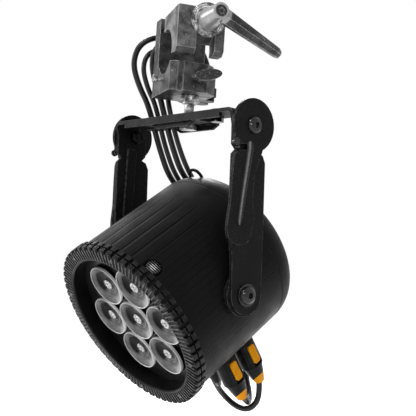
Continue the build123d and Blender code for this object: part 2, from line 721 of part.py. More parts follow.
def cover_profile(inset):
    """Half of the cover's outline, drawn in by the inset, with its round rear corner."""
    back = COVER_REAR + inset
    side = HOUSING_REAR_RADIUS - inset
    outline = Polygon((0, back), (side - 0.5, back), (side, COVER_FRONT), (0, COVER_FRONT), align=None)
    return fillet(outline.vertices().sort_by_distance((side - 0.5, back, 0))[0], COVER_ROUND - inset)


def rear_cover():
    shell = revolve(Plane.XZ * (cover_profile(0) - cover_profile(COVER_WALL)), axis=Axis.Z)
    holes = [
        rod(BUTTON_RADIUS + LOOSE_FIT, (place, BUTTON_LEVEL, COVER_REAR), COVER_WALL, (0, 0, 1))
        for place in BUTTON_PLACES
    ]
    return shell - window_block() - holes


def window_block():
    return block((-WINDOW_HALF, WINDOW_LOW, COVER_REAR), (WINDOW_HALF, WINDOW_HIGH, COVER_REAR + COVER_WALL))


def menu_button(place):
    inside = COVER_REAR + COVER_WALL + LOOSE_FIT
    cap = rod(BUTTON_RADIUS, (place, BUTTON_LEVEL, COVER_REAR - 2), inside - COVER_REAR + 2)
    return cap + rod(BUTTON_RADIUS + 1.5, (place, BUTTON_LEVEL, inside), 1.5)


def connector_panel():
    return block((-PANEL_HALF, PANEL_LEVEL, PANEL_REAR), (PANEL_HALF, PANEL_BACK, PANEL_FRONT))


def panel_sockets():
    pieces = []
    for place in (REAR_PLUG, FRONT_PLUG):
        pieces.append(rod(POWER_SOCKET_RADIUS, (POWER_X, PANEL_LEVEL, place), SOCKET_DEPTH, (0, -1, 0)))
        pieces.append(rod(DATA_SOCKET_RADIUS, (DATA_X, PANEL_LEVEL, place), SOCKET_DEPTH, (0, -1, 0)))
    return group(pieces)


def tilt_bosses():
    start = HOUSING_REAR_RADIUS / 2
    boss = rod(BOSS_RADIUS, (start, AXIS_UP, AXIS_PLACE), ARM_INSIDE - LOOSE_FIT - start, (1, 0, 0))
    boss = boss - housing_core(0)
    boss = boss - rod(TILT_BOLT_RADIUS, (0, AXIS_UP, AXIS_PLACE), YOKE_HALF, (1, 0, 0))
    return group(both_sides(boss))


def tilt_bolts():
    inside = HOUSING_REAR_RADIUS - 2 * HOUSING_WALL
    outside = YOKE_HALF + LOOSE_FIT
    shaft = rod(TILT_BOLT_RADIUS, (inside, AXIS_UP, AXIS_PLACE), outside - inside, (1, 0, 0))
    washer = rod(TILT_WASHER_RADIUS, (outside, AXIS_UP, AXIS_PLACE), TILT_WASHER, (1, 0, 0))
    head = button_head(TILT_HEAD_RADIUS, (outside + TILT_WASHER, AXIS_UP, AXIS_PLACE), TILT_HEAD, (1, 0, 0))
    return group(both_sides(shaft + washer + head))


def safety_eye():
    """A wire arch that stands on the cover's round rear corner."""
    back = COVER_REAR + COVER_ROUND
    level = HOUSING_REAR_RADIUS - 0.5 - COVER_ROUND + sqrt(COVER_ROUND**2 - (back - EYE_PLACE) ** 2)
    loop = Pos(EYE_X, level - 0.5, EYE_PLACE) * Torus(EYE_RADIUS, EYE_WIRE)
    return loop - revolve(Plane.XZ * cover_profile(0), axis=Axis.Z)


# ---------------------------------------------------------------- light engine and electronics
def lens_places():
    """One place in the middle and six round it."""
    around = [outward(60 * number) for number in range(6)]
    return [(0, 0)] + [(LENS_PITCH * way[0], LENS_PITCH * way[1]) for way in around]


BOARD_FRONT = HEATSINK_FRONT + BOARD_THICKNESS


def lenses():
    lens = turned(
        [
            (0, LENS_FRONT),
            (LENS_RADIUS, LENS_FRONT),
            (LENS_RADIUS, LENS_FRONT - 3),
            (LENS_RADIUS - HOLDER_WALL, LENS_FRONT - 3),
            (LENS_NECK, LENS_FRONT - LENS_DEPTH),
            (0, LENS_FRONT - LENS_DEPTH),
        ]
    )
    return group([Pos(x, up, 0) * lens for x, up in lens_places()])


def lens_holders():
    holder = ring(LENS_RADIUS, LENS_RADIUS - HOLDER_WALL, BOARD_FRONT, LENS_FRONT - 3)
    return group([Pos(x, up, 0) * holder for x, up in lens_places()])


def lens_mask():
    plate = rod(BEZEL_BORE, (0, 0, MASK_BACK), MASK_THICKNESS)
    return plate - [rod(LENS_RADIUS + LOOSE_FIT, (x, up, MASK_BACK), MASK_THICKNESS) for x, up in lens_places()]


def led_emitters():
    height = LENS_FRONT - LENS_DEPTH - BOARD_FRONT
    return group([rod(EMITTER_RADIUS, (x, up, BOARD_FRONT), height) for x, up in lens_places()])


def led_board():
    return rod(LENS_PITCH + LENS_RADIUS + 4, (0, 0, HEATSINK_FRONT), BOARD_THICKNESS)


def heatsink():
    plate_back = HEATSINK_FRONT - HEATSINK_PLATE
    plate = rod(housing_radius(plate_back) - HOUSING_WALL - LOOSE_FIT, (0, 0, plate_back), HEATSINK_PLATE)
    fin_radius = housing_radius(HEATSINK_REAR) - HOUSING_WALL - 4
    fin_half = -PANEL_BACK - 4
    fins = []
    for number in range(FIN_COUNT):
        place = (number - (FIN_COUNT - 1) / 2) * 2 * fin_radius / (FIN_COUNT + 1)
        low = (place - FIN_THICKNESS / 2, -fin_half, HEATSINK_REAR)
        high = (place + FIN_THICKNESS / 2, fin_half, plate_back)
        fins.append(block(low, high))
    envelope = rod(fin_radius, (0, 0, HEATSINK_REAR), plate_back - HEATSINK_REAR)
    body = plate
    for fin in fins:
        body = body + (fin & envelope)
    return body


def power_supply():
    return block(
        (-SUPPLY_WIDTH / 2, -SUPPLY_HEIGHT / 2, HEATSINK_REAR - SUPPLY_LENGTH),
        (SUPPLY_WIDTH / 2, SUPPLY_HEIGHT / 2, HEATSINK_REAR),
    )


def circuit_boards():
    inside = COVER_REAR + COVER_WALL
    board_back = inside + CIRCUIT_GAP
    half_width = CIRCUIT_WIDTH / 2
    half_height = CIRCUIT_HEIGHT / 2
    board = block((-half_width, -half_height, board_back), (half_width, half_height, board_back + BOARD_THICKNESS))
    for x in (-POST_X, POST_X):
        for up in (-POST_UP, POST_UP):
            board = board + rod(POST_RADIUS, (x, up, inside), CIRCUIT_GAP)
    return board


head_nodes = {
    "front_bezel": front_bezel(),
    "housing_screws": group([screw_shaft(number) for number in range(SCREW_COUNT)]),
    "housing_seals": housing_seals(),
    "main_housing": main_housing(),
    "vent_grille": vent_grille(),
    "rear_cover": rear_cover(),
    "display_window": window_block(),
    "connector_panel": connector_panel(),
    "panel_sockets": panel_sockets(),
    "tilt_bosses": tilt_bosses(),
    "tilt_bolts": tilt_bolts(),
    "safety_eye": safety_eye(),
    "lenses": lenses(),
    "lens_holders": lens_holders(),
    "lens_mask": lens_mask(),
    "led_emitters": led_emitters(),
    "led_board": led_board(),
    "heatsink": heatsink(),
    "power_supply": power_supply(),
    "circuit_boards": circuit_boards(),
}
for number, place in enumerate(BUTTON_PLACES, start=1):
    head_nodes[f"menu_button_{number}"] = menu_button(place)


# ---------------------------------------------------------------- plugs
def plug_cone(root, tip, x, level, place, length):
    """A boot that tapers along the plug's axis, away from the head."""
    placed = Plane(origin=(x, level, place), z_dir=(0, -1, 0))
    return placed * Cone(root, tip, length, align=(Align.CENTER, Align.CENTER, Align.MIN))


PLUG_START = PANEL_LEVEL - SOCKET_DEPTH
POWER_BOOT_START = PLUG_START - POWER_PLUG_LENGTH
COLLAR_START = POWER_BOOT_START - POWER_BOOT_LENGTH
DATA_BOOT_START = PLUG_START - DATA_PLUG_LENGTH
LATCH_START = PLUG_START - 3
POCKET_FACE = POWER_X + POWER_PLUG_RADIUS - LATCH_THICKNESS


def power_plug(place):
    body = rod(POWER_PLUG_RADIUS, (POWER_X, PLUG_START, place), POWER_PLUG_LENGTH, (0, -1, 0))
    pocket = block(
        (POCKET_FACE, LATCH_START - LATCH_LENGTH - LATCH_TRAVEL - LOOSE_FIT, place - LATCH_WIDTH / 2 - LOOSE_FIT),
        (POCKET_FACE + 2 * LATCH_THICKNESS, LATCH_START + LOOSE_FIT, place + LATCH_WIDTH / 2 + LOOSE_FIT),
    )
    return body - pocket


def power_latch(place):
    low = (POCKET_FACE + RUNNING_FIT, LATCH_START - LATCH_LENGTH, place - LATCH_WIDTH / 2)
    high = (POCKET_FACE + LATCH_THICKNESS + 1, LATCH_START, place + LATCH_WIDTH / 2)
    return block(low, high)


def power_boot(place):
    root = POWER_PLUG_RADIUS - 1
    return plug_cone(root, COLLAR_RADIUS, POWER_X, POWER_BOOT_START, place, POWER_BOOT_LENGTH)


def boot_collar(place):
    return plug_cone(COLLAR_RADIUS, POWER_LEAD / 2 + 2, POWER_X, COLLAR_START, place, COLLAR_LENGTH)


def data_plug(place):
    body = rod(DATA_PLUG_RADIUS, (DATA_X, PLUG_START, place), DATA_PLUG_LENGTH, (0, -1, 0))
    return body + plug_cone(
        DATA_PLUG_RADIUS - 1, DATA_LEAD / 2 + 1, DATA_X, DATA_BOOT_START, place, DATA_BOOT_LENGTH
    )


PLUG_PLACES = {"rear": REAR_PLUG, "front": FRONT_PLUG}
for side, place in PLUG_PLACES.items():
    head_nodes[f"power_plug_{side}"] = power_plug(place)
    head_nodes[f"power_latch_{side}"] = power_latch(place)
head_nodes["power_boots"] = group([power_boot(place) for place in PLUG_PLACES.values()])
head_nodes["boot_collars"] = group([boot_collar(place) for place in PLUG_PLACES.values()])
head_nodes["data_plugs"] = group([data_plug(place) for place in PLUG_PLACES.values()])

for name, shape in head_nodes.items():
    nodes[name] = HEAD * shape


# ---------------------------------------------------------------- leads
# Lower runs, in (x, up, beam) axes: out of the plug, round under the head and up behind it.
LOWER_ROUTES = {
    "power_rear": [
        (17, -154, -35), (17, -165, -30), (16, -177, -20), (8, -182, -9), (-6, -177, -4), (-26, -166, -7),
        (-50, -160, -18), (-72, -142, -34), (-80, -114, -58), (-80, -84, -92), (-76, -50, -114),
        (-73, -8, -124), (-72, 36, -120),
    ],
    "power_front": [
        (17, -154, -3), (12, -168, -9), (-4, -184, -21), (-20, -186, -38), (-33, -174, -52), (-41, -154, -68),
        (-44, -128, -90), (-46, -98, -112), (-48, -60, -126), (-48, -14, -131), (-48, 34, -126),
    ],
    "data_rear": [
        (-19, -138, -35), (-22, -152, -37), (-34, -159, -44), (-52, -154, -50), (-66, -136, -60),
        (-69, -110, -78), (-65, -84, -101), (-61, -50, -114), (-60, -8, -121), (-60, 36, -118),
    ],
    "data_front": [
        (-19, -138, -3), (-23, -149, -6), (-34, -154, -14), (-48, -146, -25), (-58, -124, -44),
        (-57, -99, -73), (-50, -78, -101), (-42, -47, -114), (-37, -8, -119), (-35, 36, -116),
    ],
}
# From the top of the head to the tie on the crossbar.
TIE_ROUTES = {
    "power_rear": [(-76, 38, -138), (-82, 21, -97), (-84, 13, -73)],
    "power_front": [(-50, 38, -136), (-56, 21, -97), (-58, 13, -73)],
    "data_rear": [(-63, 38, -137), (-70, 21, -97), (-71, 13, -73)],
    "data_front": [(-37, 38, -134), (-44, 21, -97), (-46, 13, -73)],
}
# From the tie, up behind the truss tube and down into the line connectors.
UPPER_ROUTES = {
    "power_rear": [
        (-84, 13, -73), (-86, 5, -49), (-89, -10, -26), (-91, -20, 0), (-84, -16, 24), (-72, 6, 36),
        (-61, 36, 31), (-57, 58, 14), (-57, 62, -8),
    ],
    "power_front": [
        (-58, 13, -73), (-60, 5, -49), (-62, 0, -34), (-63, -10, -12), (-62, -12, 12), (-59, 5, 29),
        (-47, 32, 31), (-38, 51, 14), (-37.5, 55, -8),
    ],
    "data_rear": [
        (-71, 13, -73), (-72, 5, -49), (-76, -6, -30), (-77, -15, -6), (-76, -8, 14), (-71, 15, 22),
        (-66, 37, 11), (-64, 43.5, -8),
    ],
    "data_front": [
        (-46, 13, -73), (-47.5, 7, -55), (-52, 6, -36), (-55, 0, -16), (-56, 2, 2), (-51, 18, 13),
        (-46, 33, 7), (-44.3, 36.4, -8),
    ],
}
CONNECTOR_RADIUS = 9.0
CONNECTOR_LENGTH = 32.0
STRAP_LEVEL = -34.0
STRAP_HEIGHT = 10.0
BEND_SHARE = 0.45


def head_point(x, up, place):
    """A point of the head's own axes in the part's axes."""
    tilt = radians(HEAD_TILT)
    return (x, HEAD_Y - place * cos(tilt) - up * sin(tilt), HEAD_Z - place * sin(tilt) + up * cos(tilt))


def bend_radii(points):
    """The radius of each bend: a share of the shorter run beside it."""
    radii = []
    for before, here, after in zip(points, points[1:], points[2:]):
        run_in = Vector(*here) - Vector(*before)
        run_out = Vector(*after) - Vector(*here)
        half_turn = radians(run_in.get_angle(run_out) / 2)
        radii.append(BEND_SHARE * min(run_in.length, run_out.length) / tan(half_turn))
    return radii


def lead(name, points, diameter):
    """A lead's round tube: straight runs joined by tangent arcs."""
    radii = bend_radii(points)
    path = FilletPolyline(*points, radius=radii)
    section = Plane(origin=points[0], z_dir=Vector(*points[1]) - Vector(*points[0])) * Circle(diameter / 2)
    tube = sweep(section, path=path)
    area = pi * diameter**2 / 4
    print(name, "length", round(path.length, 1), "smallest radius", round(min(radii), 1))
    print("    radii", [round(radius, 1) for radius in radii])
    print("    volume over section times length", round(tube.volume / (area * path.length), 4))
    return tube


lower_leads = {}
upper_leads = {}
for key, route in LOWER_ROUTES.items():
    thickness = POWER_LEAD if key.startswith("power") else DATA_LEAD
    lower_points = [head_point(*point) for point in route] + TIE_ROUTES[key]
    lower_leads[f"lead_{key}_lower"] = lead(f"lead_{key}_lower", lower_points, thickness)
    upper_leads[f"lead_{key}_upper"] = lead(f"lead_{key}_upper", UPPER_ROUTES[key], thickness)
all_leads = list(lower_leads.values()) + list(upper_leads.values())

for name in ("boot_collars", "data_plugs"):
    nodes[name] = group([nodes[name] - list(lower_leads.values())])


def crossbar_tie():
    bottom = CROSSBAR_UNDER - TIE_THICKNESS
    strap = block((TIE_LEFT, CROSSBAR_REAR, bottom), (TIE_RIGHT, TIE_REAR, CROSSBAR_TOP + TIE_THICKNESS))
    crossbar = block((-YOKE_HALF, CROSSBAR_FRONT, CROSSBAR_UNDER), (YOKE_HALF, CROSSBAR_REAR, CROSSBAR_TOP))
    return strap - crossbar - all_leads


def connector_places():
    """Where each line connector hangs: straight below its lead's last point."""
    return [route[-1] for route in UPPER_ROUTES.values()]


def line_connectors():
    bodies = []
    for x, y, z in connector_places():
        bodies.append(rod(CONNECTOR_RADIUS, (x, y, z - CONNECTOR_LENGTH), CONNECTOR_LENGTH))
    return group([body - all_leads for body in bodies])


def clamp_strap():
    wall = CLAMP * block(
        (BASE_REAR - STRAP_THICKNESS, -10, STRAP_LEVEL), (BASE_REAR, BASE_RIGHT, STRAP_LEVEL + STRAP_HEIGHT)
    )
    low = STRAP_LEVEL
    loops = [
        rod(CONNECTOR_RADIUS + STRAP_THICKNESS, (x, y, low), STRAP_HEIGHT) for x, y, z in connector_places()
    ]
    bores = [rod(CONNECTOR_RADIUS, (x, y, low), STRAP_HEIGHT) for x, y, z in connector_places()]
    strap = wall
    for loop in loops:
        strap = strap + loop
    return strap - bores - nodes["clamp_base"]


nodes["crossbar_tie"] = crossbar_tie()
nodes["line_connectors"] = line_connectors()
nodes["clamp_strap"] = clamp_strap()
nodes.update(lower_leads)
nodes.update(upper_leads)

os.makedirs("parts", exist_ok=True)
for name, shape in nodes.items():
    export_step(shape, f"parts/{name}.step")
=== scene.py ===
"""A stage par can hanging from a tube clamp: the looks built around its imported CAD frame."""
import math

import bpy
from mathutils import Matrix, Vector


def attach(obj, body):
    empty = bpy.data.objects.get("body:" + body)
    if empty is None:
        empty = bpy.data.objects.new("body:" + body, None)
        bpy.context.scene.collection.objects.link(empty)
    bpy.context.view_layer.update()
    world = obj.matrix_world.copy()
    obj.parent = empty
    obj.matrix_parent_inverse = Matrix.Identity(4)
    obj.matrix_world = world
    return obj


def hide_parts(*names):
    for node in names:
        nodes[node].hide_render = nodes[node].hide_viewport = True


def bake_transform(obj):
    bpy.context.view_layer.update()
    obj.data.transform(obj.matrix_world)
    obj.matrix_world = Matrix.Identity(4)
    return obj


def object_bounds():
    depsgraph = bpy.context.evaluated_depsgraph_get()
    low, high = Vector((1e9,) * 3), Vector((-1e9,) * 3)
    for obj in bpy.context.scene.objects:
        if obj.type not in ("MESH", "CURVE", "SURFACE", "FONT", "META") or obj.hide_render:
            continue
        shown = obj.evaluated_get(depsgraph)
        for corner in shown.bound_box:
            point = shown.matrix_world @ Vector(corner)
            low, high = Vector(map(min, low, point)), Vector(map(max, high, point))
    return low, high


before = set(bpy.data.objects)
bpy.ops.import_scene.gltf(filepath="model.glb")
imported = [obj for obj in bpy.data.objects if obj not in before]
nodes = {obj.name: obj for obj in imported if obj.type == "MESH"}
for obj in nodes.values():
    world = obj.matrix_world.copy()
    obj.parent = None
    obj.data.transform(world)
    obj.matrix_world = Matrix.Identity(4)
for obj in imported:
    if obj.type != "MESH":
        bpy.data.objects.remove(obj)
cad_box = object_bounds()

MM = 0.001
TILT = math.radians(35.47)
RIB_STEP = 3.0  # degrees between the bezel's face ribs
GROOVE_STEP = 9.0  # degrees between the housing's grooves
TILT_Z = -0.2609
BEAM = Vector((0, -math.cos(TILT), -math.sin(TILT)))
HEAD_UP = Vector((0, -math.sin(TILT), math.cos(TILT)))


def frame_matrix(x_axis, y_axis, z_axis, origin):
    """The matrix whose columns are three axes and an origin."""
    matrix = Matrix((x_axis, y_axis, z_axis)).transposed().to_4x4()
    matrix.translation = origin
    return matrix


# The head's own axes: x across, y up, z along the beam.
HEAD = frame_matrix(Vector((1, 0, 0)), HEAD_UP, BEAM, Vector((0, 0, TILT_Z)))
# The clamp's front and the tube's direction.
TUBE_TURN = math.radians(70)
CLAMP_FRONT = Vector((math.sin(TUBE_TURN), -math.cos(TUBE_TURN), 0))
CLAMP_ALONG = Vector((math.cos(TUBE_TURN), math.sin(TUBE_TURN), 0))
# The clamp screw's axes: x along the tube, y up, z towards the handle.
SCREW_LEVEL = 31.0
SCREW = frame_matrix(CLAMP_ALONG, Vector((0, 0, 1)), CLAMP_FRONT, Vector((0, 0, SCREW_LEVEL * MM)))


# ---------------------------------------------------------------- node helpers
def srgb(red, green=None, blue=None):
    """A linear colour from 0 to 255 screen levels."""
    levels = (red, red if green is None else green, red if blue is None else blue)
    linear = [((v / 255 + 0.055) / 1.055) ** 2.4 if v > 10 else v / 255 / 12.92 for v in levels]
    return (*linear, 1.0)


class Nodes:
    """A material's node tree, with short calls for the few node kinds used here."""

    def __init__(self, name, roughness, metallic=0.0, specular=0.5):
        self.material = bpy.data.materials.new(name)
        self.material.use_nodes = True
        self.tree = self.material.node_tree
        self.shader = self.tree.nodes["Principled BSDF"]
        self.shader.inputs["Roughness"].default_value = roughness
        self.shader.inputs["Metallic"].default_value = metallic
        self.shader.inputs["Specular IOR Level"].default_value = specular
        self.place = self.tree.nodes.new("ShaderNodeTexCoord").outputs["Object"]

    def put(self, value, socket):
        """Links a socket or sets a plain value."""
        if isinstance(value, bpy.types.NodeSocket):
            self.tree.links.new(value, socket)
        else:
            socket.default_value = value

    def math(self, operation, first, second=0.0, clamp=False):
        node = self.tree.nodes.new("ShaderNodeMath")
        node.operation = operation
        node.use_clamp = clamp
        self.put(first, node.inputs[0])
        self.put(second, node.inputs[1])
        return node.outputs[0]

    def noise(self, size, detail=2.0, rough=0.5, place=None, stretch=None):
        """Noise whose blobs are about size metres across."""
        node = self.tree.nodes.new("ShaderNodeTexNoise")
        node.inputs["Scale"].default_value = 1 / size
        node.inputs["Detail"].default_value = detail
        node.inputs["Roughness"].default_value = rough
        place = place or self.place
        if stretch:
            scale = self.tree.nodes.new("ShaderNodeVectorMath")
            scale.operation = "MULTIPLY"
            self.put(place, scale.inputs[0])
            scale.inputs[1].default_value = stretch
            place = scale.outputs[0]
        self.put(place, node.inputs["Vector"])
        return node.outputs["Fac"]

    def ramp(self, value, low, high, start=0.0, end=1.0):
        """Maps low..high onto start..end, smoothly and clamped."""
        node = self.tree.nodes.new("ShaderNodeMapRange")
        node.interpolation_type = "SMOOTHSTEP"
        self.put(value, node.inputs["Value"])
        for key, number in (("From Min", low), ("From Max", high), ("To Min", start), ("To Max", end)):
            node.inputs[key].default_value = number
        return node.outputs["Result"]

    def mix(self, factor, first, second):
        node = self.tree.nodes.new("ShaderNodeMix")
        node.data_type = "RGBA"
        self.put(factor, node.inputs["Factor"])
        self.put(first, node.inputs["A"])
        self.put(second, node.inputs["B"])
        return node.outputs["Result"]

    def soft_edge(self, radius):
        """A normal rounded over edges by radius, and a mask that is 1 on them."""
        bevel = self.tree.nodes.new("ShaderNodeBevel")
        bevel.samples = 6
        bevel.inputs["Radius"].default_value = radius
        flat = self.tree.nodes.new("ShaderNodeNewGeometry")
        dot = self.tree.nodes.new("ShaderNodeVectorMath")
        dot.operation = "DOT_PRODUCT"
        self.put(bevel.outputs["Normal"], dot.inputs[0])
        self.put(flat.outputs["Normal"], dot.inputs[1])
        return bevel.outputs["Normal"], self.ramp(dot.outputs["Value"], 0.985, 0.86)

    def bump(self, height, depth, normal=None):
        node = self.tree.nodes.new("ShaderNodeBump")
        node.inputs["Strength"].default_value = 1.0
        node.inputs["Distance"].default_value = depth
        self.put(height, node.inputs["Height"])
        if normal is not None:
            self.put(normal, node.inputs["Normal"])
        return node.outputs["Normal"]

    def lines(self, value, pitch, width):
        """1 on lines that repeat every pitch of value, width wide, 0 between them."""
        turns = self.math("FRACT", self.math("DIVIDE", value, pitch))
        off = self.math("ABSOLUTE", self.math("SUBTRACT", turns, 0.5))
        half = width / pitch / 2
        return self.ramp(off, half, half * 0.4)

    def spot(self):
        """x, y and z of a point in its own copy's axes, its angle about z, and the three as a vector."""
        node = self.tree.nodes.new("ShaderNodeAttribute")
        node.attribute_name = "spot"
        split = self.tree.nodes.new("ShaderNodeSeparateXYZ")
        self.put(node.outputs["Vector"], split.inputs[0])
        x, y, z = split.outputs
        return x, y, z, self.math("ARCTAN2", y, x), node.outputs["Vector"]

    def divided(self, vector, length):
        """A vector over its length."""
        node = self.tree.nodes.new("ShaderNodeVectorMath")
        node.operation = "SCALE"
        self.put(vector, node.inputs[0])
        self.put(self.math("DIVIDE", 1.0, length), node.inputs["Scale"])
        return node.outputs[0]

    def times(self, *values):
        total = values[0]
        for value in values[1:]:
            total = self.math("MULTIPLY", total, value)
        return total

    def reach(self, x, y):
        """Distance from an axis."""
        return self.math("SQRT", self.math("ADD", self.times(x, x), self.times(y, y)))

    def local(self, matrix):
        """x, y and z of a point in the axes of matrix, and its angle about z."""
        inverse = matrix.inverted()
        node = self.tree.nodes.new("ShaderNodeMapping")
        node.vector_type = "POINT"
        node.inputs["Rotation"].default_value = inverse.to_euler()
        node.inputs["Location"].default_value = inverse.translation
        self.put(self.place, node.inputs["Vector"])
        split = self.tree.nodes.new("ShaderNodeSeparateXYZ")
        self.put(node.outputs[0], split.inputs[0])
        x, y, z = split.outputs
        return x, y, z, self.math("ARCTAN2", y, x)

    def finish(self, colour, normal=None, roughness=None):
        self.put(colour, self.shader.inputs["Base Color"])
        if normal is not None:
            self.put(normal, self.shader.inputs["Normal"])
        if roughness is not None:
            self.put(roughness, self.shader.inputs["Roughness"])
        return self.material


def coated(name, dark, light, roughness, specular=0.3, grain=0.0012, edge=None, edge_radius=0.0007):
    """Powder coat or cast paint: fine speckle, faint clouds, edges painted towards a paler tone, partly as
    wear and partly as a painted highlight.
    """
    n = Nodes(name, roughness, specular=specular)
    speckle = n.ramp(n.noise(grain, 3.0, 0.6), 0.5, 0.72)
    clouds = n.noise(0.03, 3.0)
    colour = n.mix(speckle, srgb(dark), srgb(light))
    colour = n.mix(n.ramp(clouds, 0.35, 0.75, 0.0, 0.35), colour, srgb(max(dark - 8, 4)))
    normal, on_edge = n.soft_edge(edge_radius)
    # Edges painted paler: partly wear, partly a painted highlight on the edges.
    if edge:
        broken = n.math("MULTIPLY", on_edge, n.ramp(n.noise(0.004, 3.0, 0.7), 0.35, 0.62))
        colour = n.mix(broken, colour, srgb(edge))
    normal = n.bump(n.noise(grain * 0.6, 2.0), 0.00012, normal)
    return n.finish(colour, normal, n.ramp(clouds, 0.3, 0.7, roughness - 0.06, roughness + 0.08))


def metal(name, tone, dark, roughness, grain=0.002, metallic=1.0):
    """Plated or bare metal with mottling and fine scratches."""
    n = Nodes(name, roughness, metallic=metallic)
    mottle = n.noise(grain, 4.0, 0.65)
    colour = n.mix(n.ramp(mottle, 0.35, 0.7), srgb(dark), srgb(tone))
    scratch = n.noise(0.0008, 2.0, 0.5, stretch=(1, 1, 6))
    normal, _ = n.soft_edge(0.0006)
    normal = n.bump(scratch, 0.00006, normal)
    return n.finish(colour, normal, n.ramp(mottle, 0.3, 0.7, roughness + 0.12, roughness - 0.05))


def plastic(name, level, roughness, specular=0.4, grain=0.0009, tint=None, edge_radius=0.0006):
    """Moulded plastic or rubber: a fine grain with worn, shinier patches."""
    n = Nodes(name, roughness, specular=specular)
    base = tint or (level, level, level)
    pale = tuple(min(255, v + 9) for v in base)
    patches = n.noise(0.012, 3.0)
    colour = n.mix(n.ramp(patches, 0.35, 0.7), srgb(*base), srgb(*pale))
    normal, _ = n.soft_edge(edge_radius)
    normal = n.bump(n.noise(grain, 2.0), 0.00005, normal)
    return n.finish(colour, normal, n.ramp(patches, 0.3, 0.7, roughness - 0.05, roughness + 0.07))


def worn_metal(name, dark, light, edge, roughness, polished=0.0):
    """Cast metal with cloudy wear, edges painted bright partly as wear and partly as a painted highlight, and
    a polished part round the clamp's screw.
    """
    n = Nodes(name, roughness, metallic=0.35, specular=0.35)
    clouds = n.noise(0.016, 5.0, 0.62)
    spots = n.noise(0.0035, 3.0, 0.6)
    colour = n.mix(n.ramp(clouds, 0.34, 0.68), srgb(dark), srgb(light))
    colour = n.mix(n.ramp(spots, 0.62, 0.76, 0.0, 0.4), colour, srgb(edge))
    if polished:
        x, y, _, _ = n.local(SCREW)
        colour = n.mix(n.times(n.ramp(n.reach(x, y), 0.0145, 0.0125), polished), colour, srgb(224))
    normal, on_edge = n.soft_edge(0.0013)
    # Edges painted bright: partly wear, partly a painted highlight on the edges.
    worn = n.times(on_edge, n.ramp(n.noise(0.006, 3.0, 0.7), 0.3, 0.6, 0.35, 1.0))
    colour = n.mix(worn, colour, srgb(edge))
    normal = n.bump(n.noise(0.0012, 3.0), 0.00012, normal)
    return n.finish(colour, normal, n.ramp(clouds, 0.3, 0.7, roughness + 0.1, roughness - 0.08))


def ringed_metal():
    """Bright turned steel, stained, with rings round the clamp's screw."""
    n = Nodes("washer_steel", 0.3, metallic=0.8)
    x, y, _, _ = n.local(SCREW)
    rings = n.lines(n.reach(x, y), 0.0024, 0.001)
    stains = n.noise(0.006, 4.0, 0.65)
    colour = n.mix(n.ramp(stains, 0.4, 0.62), srgb(92), srgb(226))
    colour = n.mix(n.math("MULTIPLY", rings, 0.6), colour, srgb(60))
    normal, _ = n.soft_edge(0.0007)
    normal = n.bump(n.math("SUBTRACT", 1.0, rings), 0.0004, normal)
    return n.finish(colour, normal, n.ramp(stains, 0.3, 0.7, 0.5, 0.25))


def seam(n, along, degrees):
    """1 on the stepped seam of the head's right side; degrees counts from -x."""
    def within(value, low, high, soft):
        return n.times(n.ramp(value, low - soft, low), n.ramp(value, high + soft, high))

    upper = n.times(within(degrees, 173.0, 173.4, 0.25), within(along, -0.057, -0.041, 0.0004))
    step = n.times(within(degrees, 169.8, 173.3, 0.2), within(along, -0.0578, -0.0572, 0.0004))
    lower = n.times(within(degrees, 169.6, 170.0, 0.25), within(along, -0.0725, -0.0575, 0.0004))
    return n.math("MAXIMUM", upper, n.math("MAXIMUM", step, lower))


def shell_paint(name, grooved):
    """Satin black paint; the housing's has fine grooves that fade out towards the rear. Painted highlights
    lie on the upper left, on the housing's ridges there and on all edges; the grooves are painted near black
    as shade, and the stepped seam as a dark joint.
    """
    n = Nodes(name, 0.5, specular=0.06)
    _, _, along, angle = n.local(HEAD)
    degrees = n.math("ADD", n.math("MULTIPLY", angle, 180 / math.pi), 180)
    speckle = n.ramp(n.noise(0.0011, 3.0, 0.65), 0.56, 0.74)
    colour = n.mix(speckle, srgb(17), srgb(44))
    colour = n.mix(n.ramp(n.noise(0.05, 3.0), 0.35, 0.7, 0.0, 0.5), colour, srgb(10))
    far_side = n.ramp(degrees, 358, 315)
    # Painted highlight on the upper left, where the top would catch the light, broken up by noise.
    upper_left = n.times(n.ramp(degrees, 225, 285), far_side, n.ramp(along, 0.05, -0.01, 0.4, 1.0))
    highlight_breakup = n.ramp(n.noise(0.03, 4.0, 0.6), 0.3, 0.7, 0.3, 0.75)
    colour = n.mix(n.times(upper_left, highlight_breakup), colour, srgb(74))
    groove = seam(n, along, degrees)
    if grooved:
        deep = n.times(
            n.lines(degrees, GROOVE_STEP, 1.7), n.ramp(along, -0.045, 0.0), n.ramp(degrees, 215, 240),
            far_side,
        )
        fine = n.times(n.lines(degrees, GROOVE_STEP / 2, 0.6), n.ramp(along, -0.05, 0.03), 0.6)
        groove = n.math("MAXIMUM", groove, n.math("MAXIMUM", deep, fine))
        # Ridges on the upper left painted lighter as a painted highlight.
        ridge = n.times(
            n.lines(n.math("ADD", degrees, 1.4), GROOVE_STEP, 1.0), n.ramp(along, -0.04, 0.02),
            n.ramp(degrees, 225, 270), far_side,
        )
        colour = n.mix(n.math("MULTIPLY", ridge, 0.7), colour, srgb(104))
    # Grooves painted near black as painted shade; the stepped seam is painted as a dark joint.
    colour = n.mix(groove, colour, srgb(1))
    normal, on_edge = n.soft_edge(0.0008)
    # Edges painted lighter as a painted highlight.
    colour = n.mix(n.math("MULTIPLY", on_edge, 0.5), colour, srgb(66))
    normal = n.bump(n.math("SUBTRACT", 1.0, groove), 0.0012, normal)
    normal = n.bump(n.noise(0.0008, 2.0), 0.00012, normal)
    return n.finish(colour, normal, n.ramp(n.noise(0.03, 2.0), 0.3, 0.7, 0.38, 0.5))


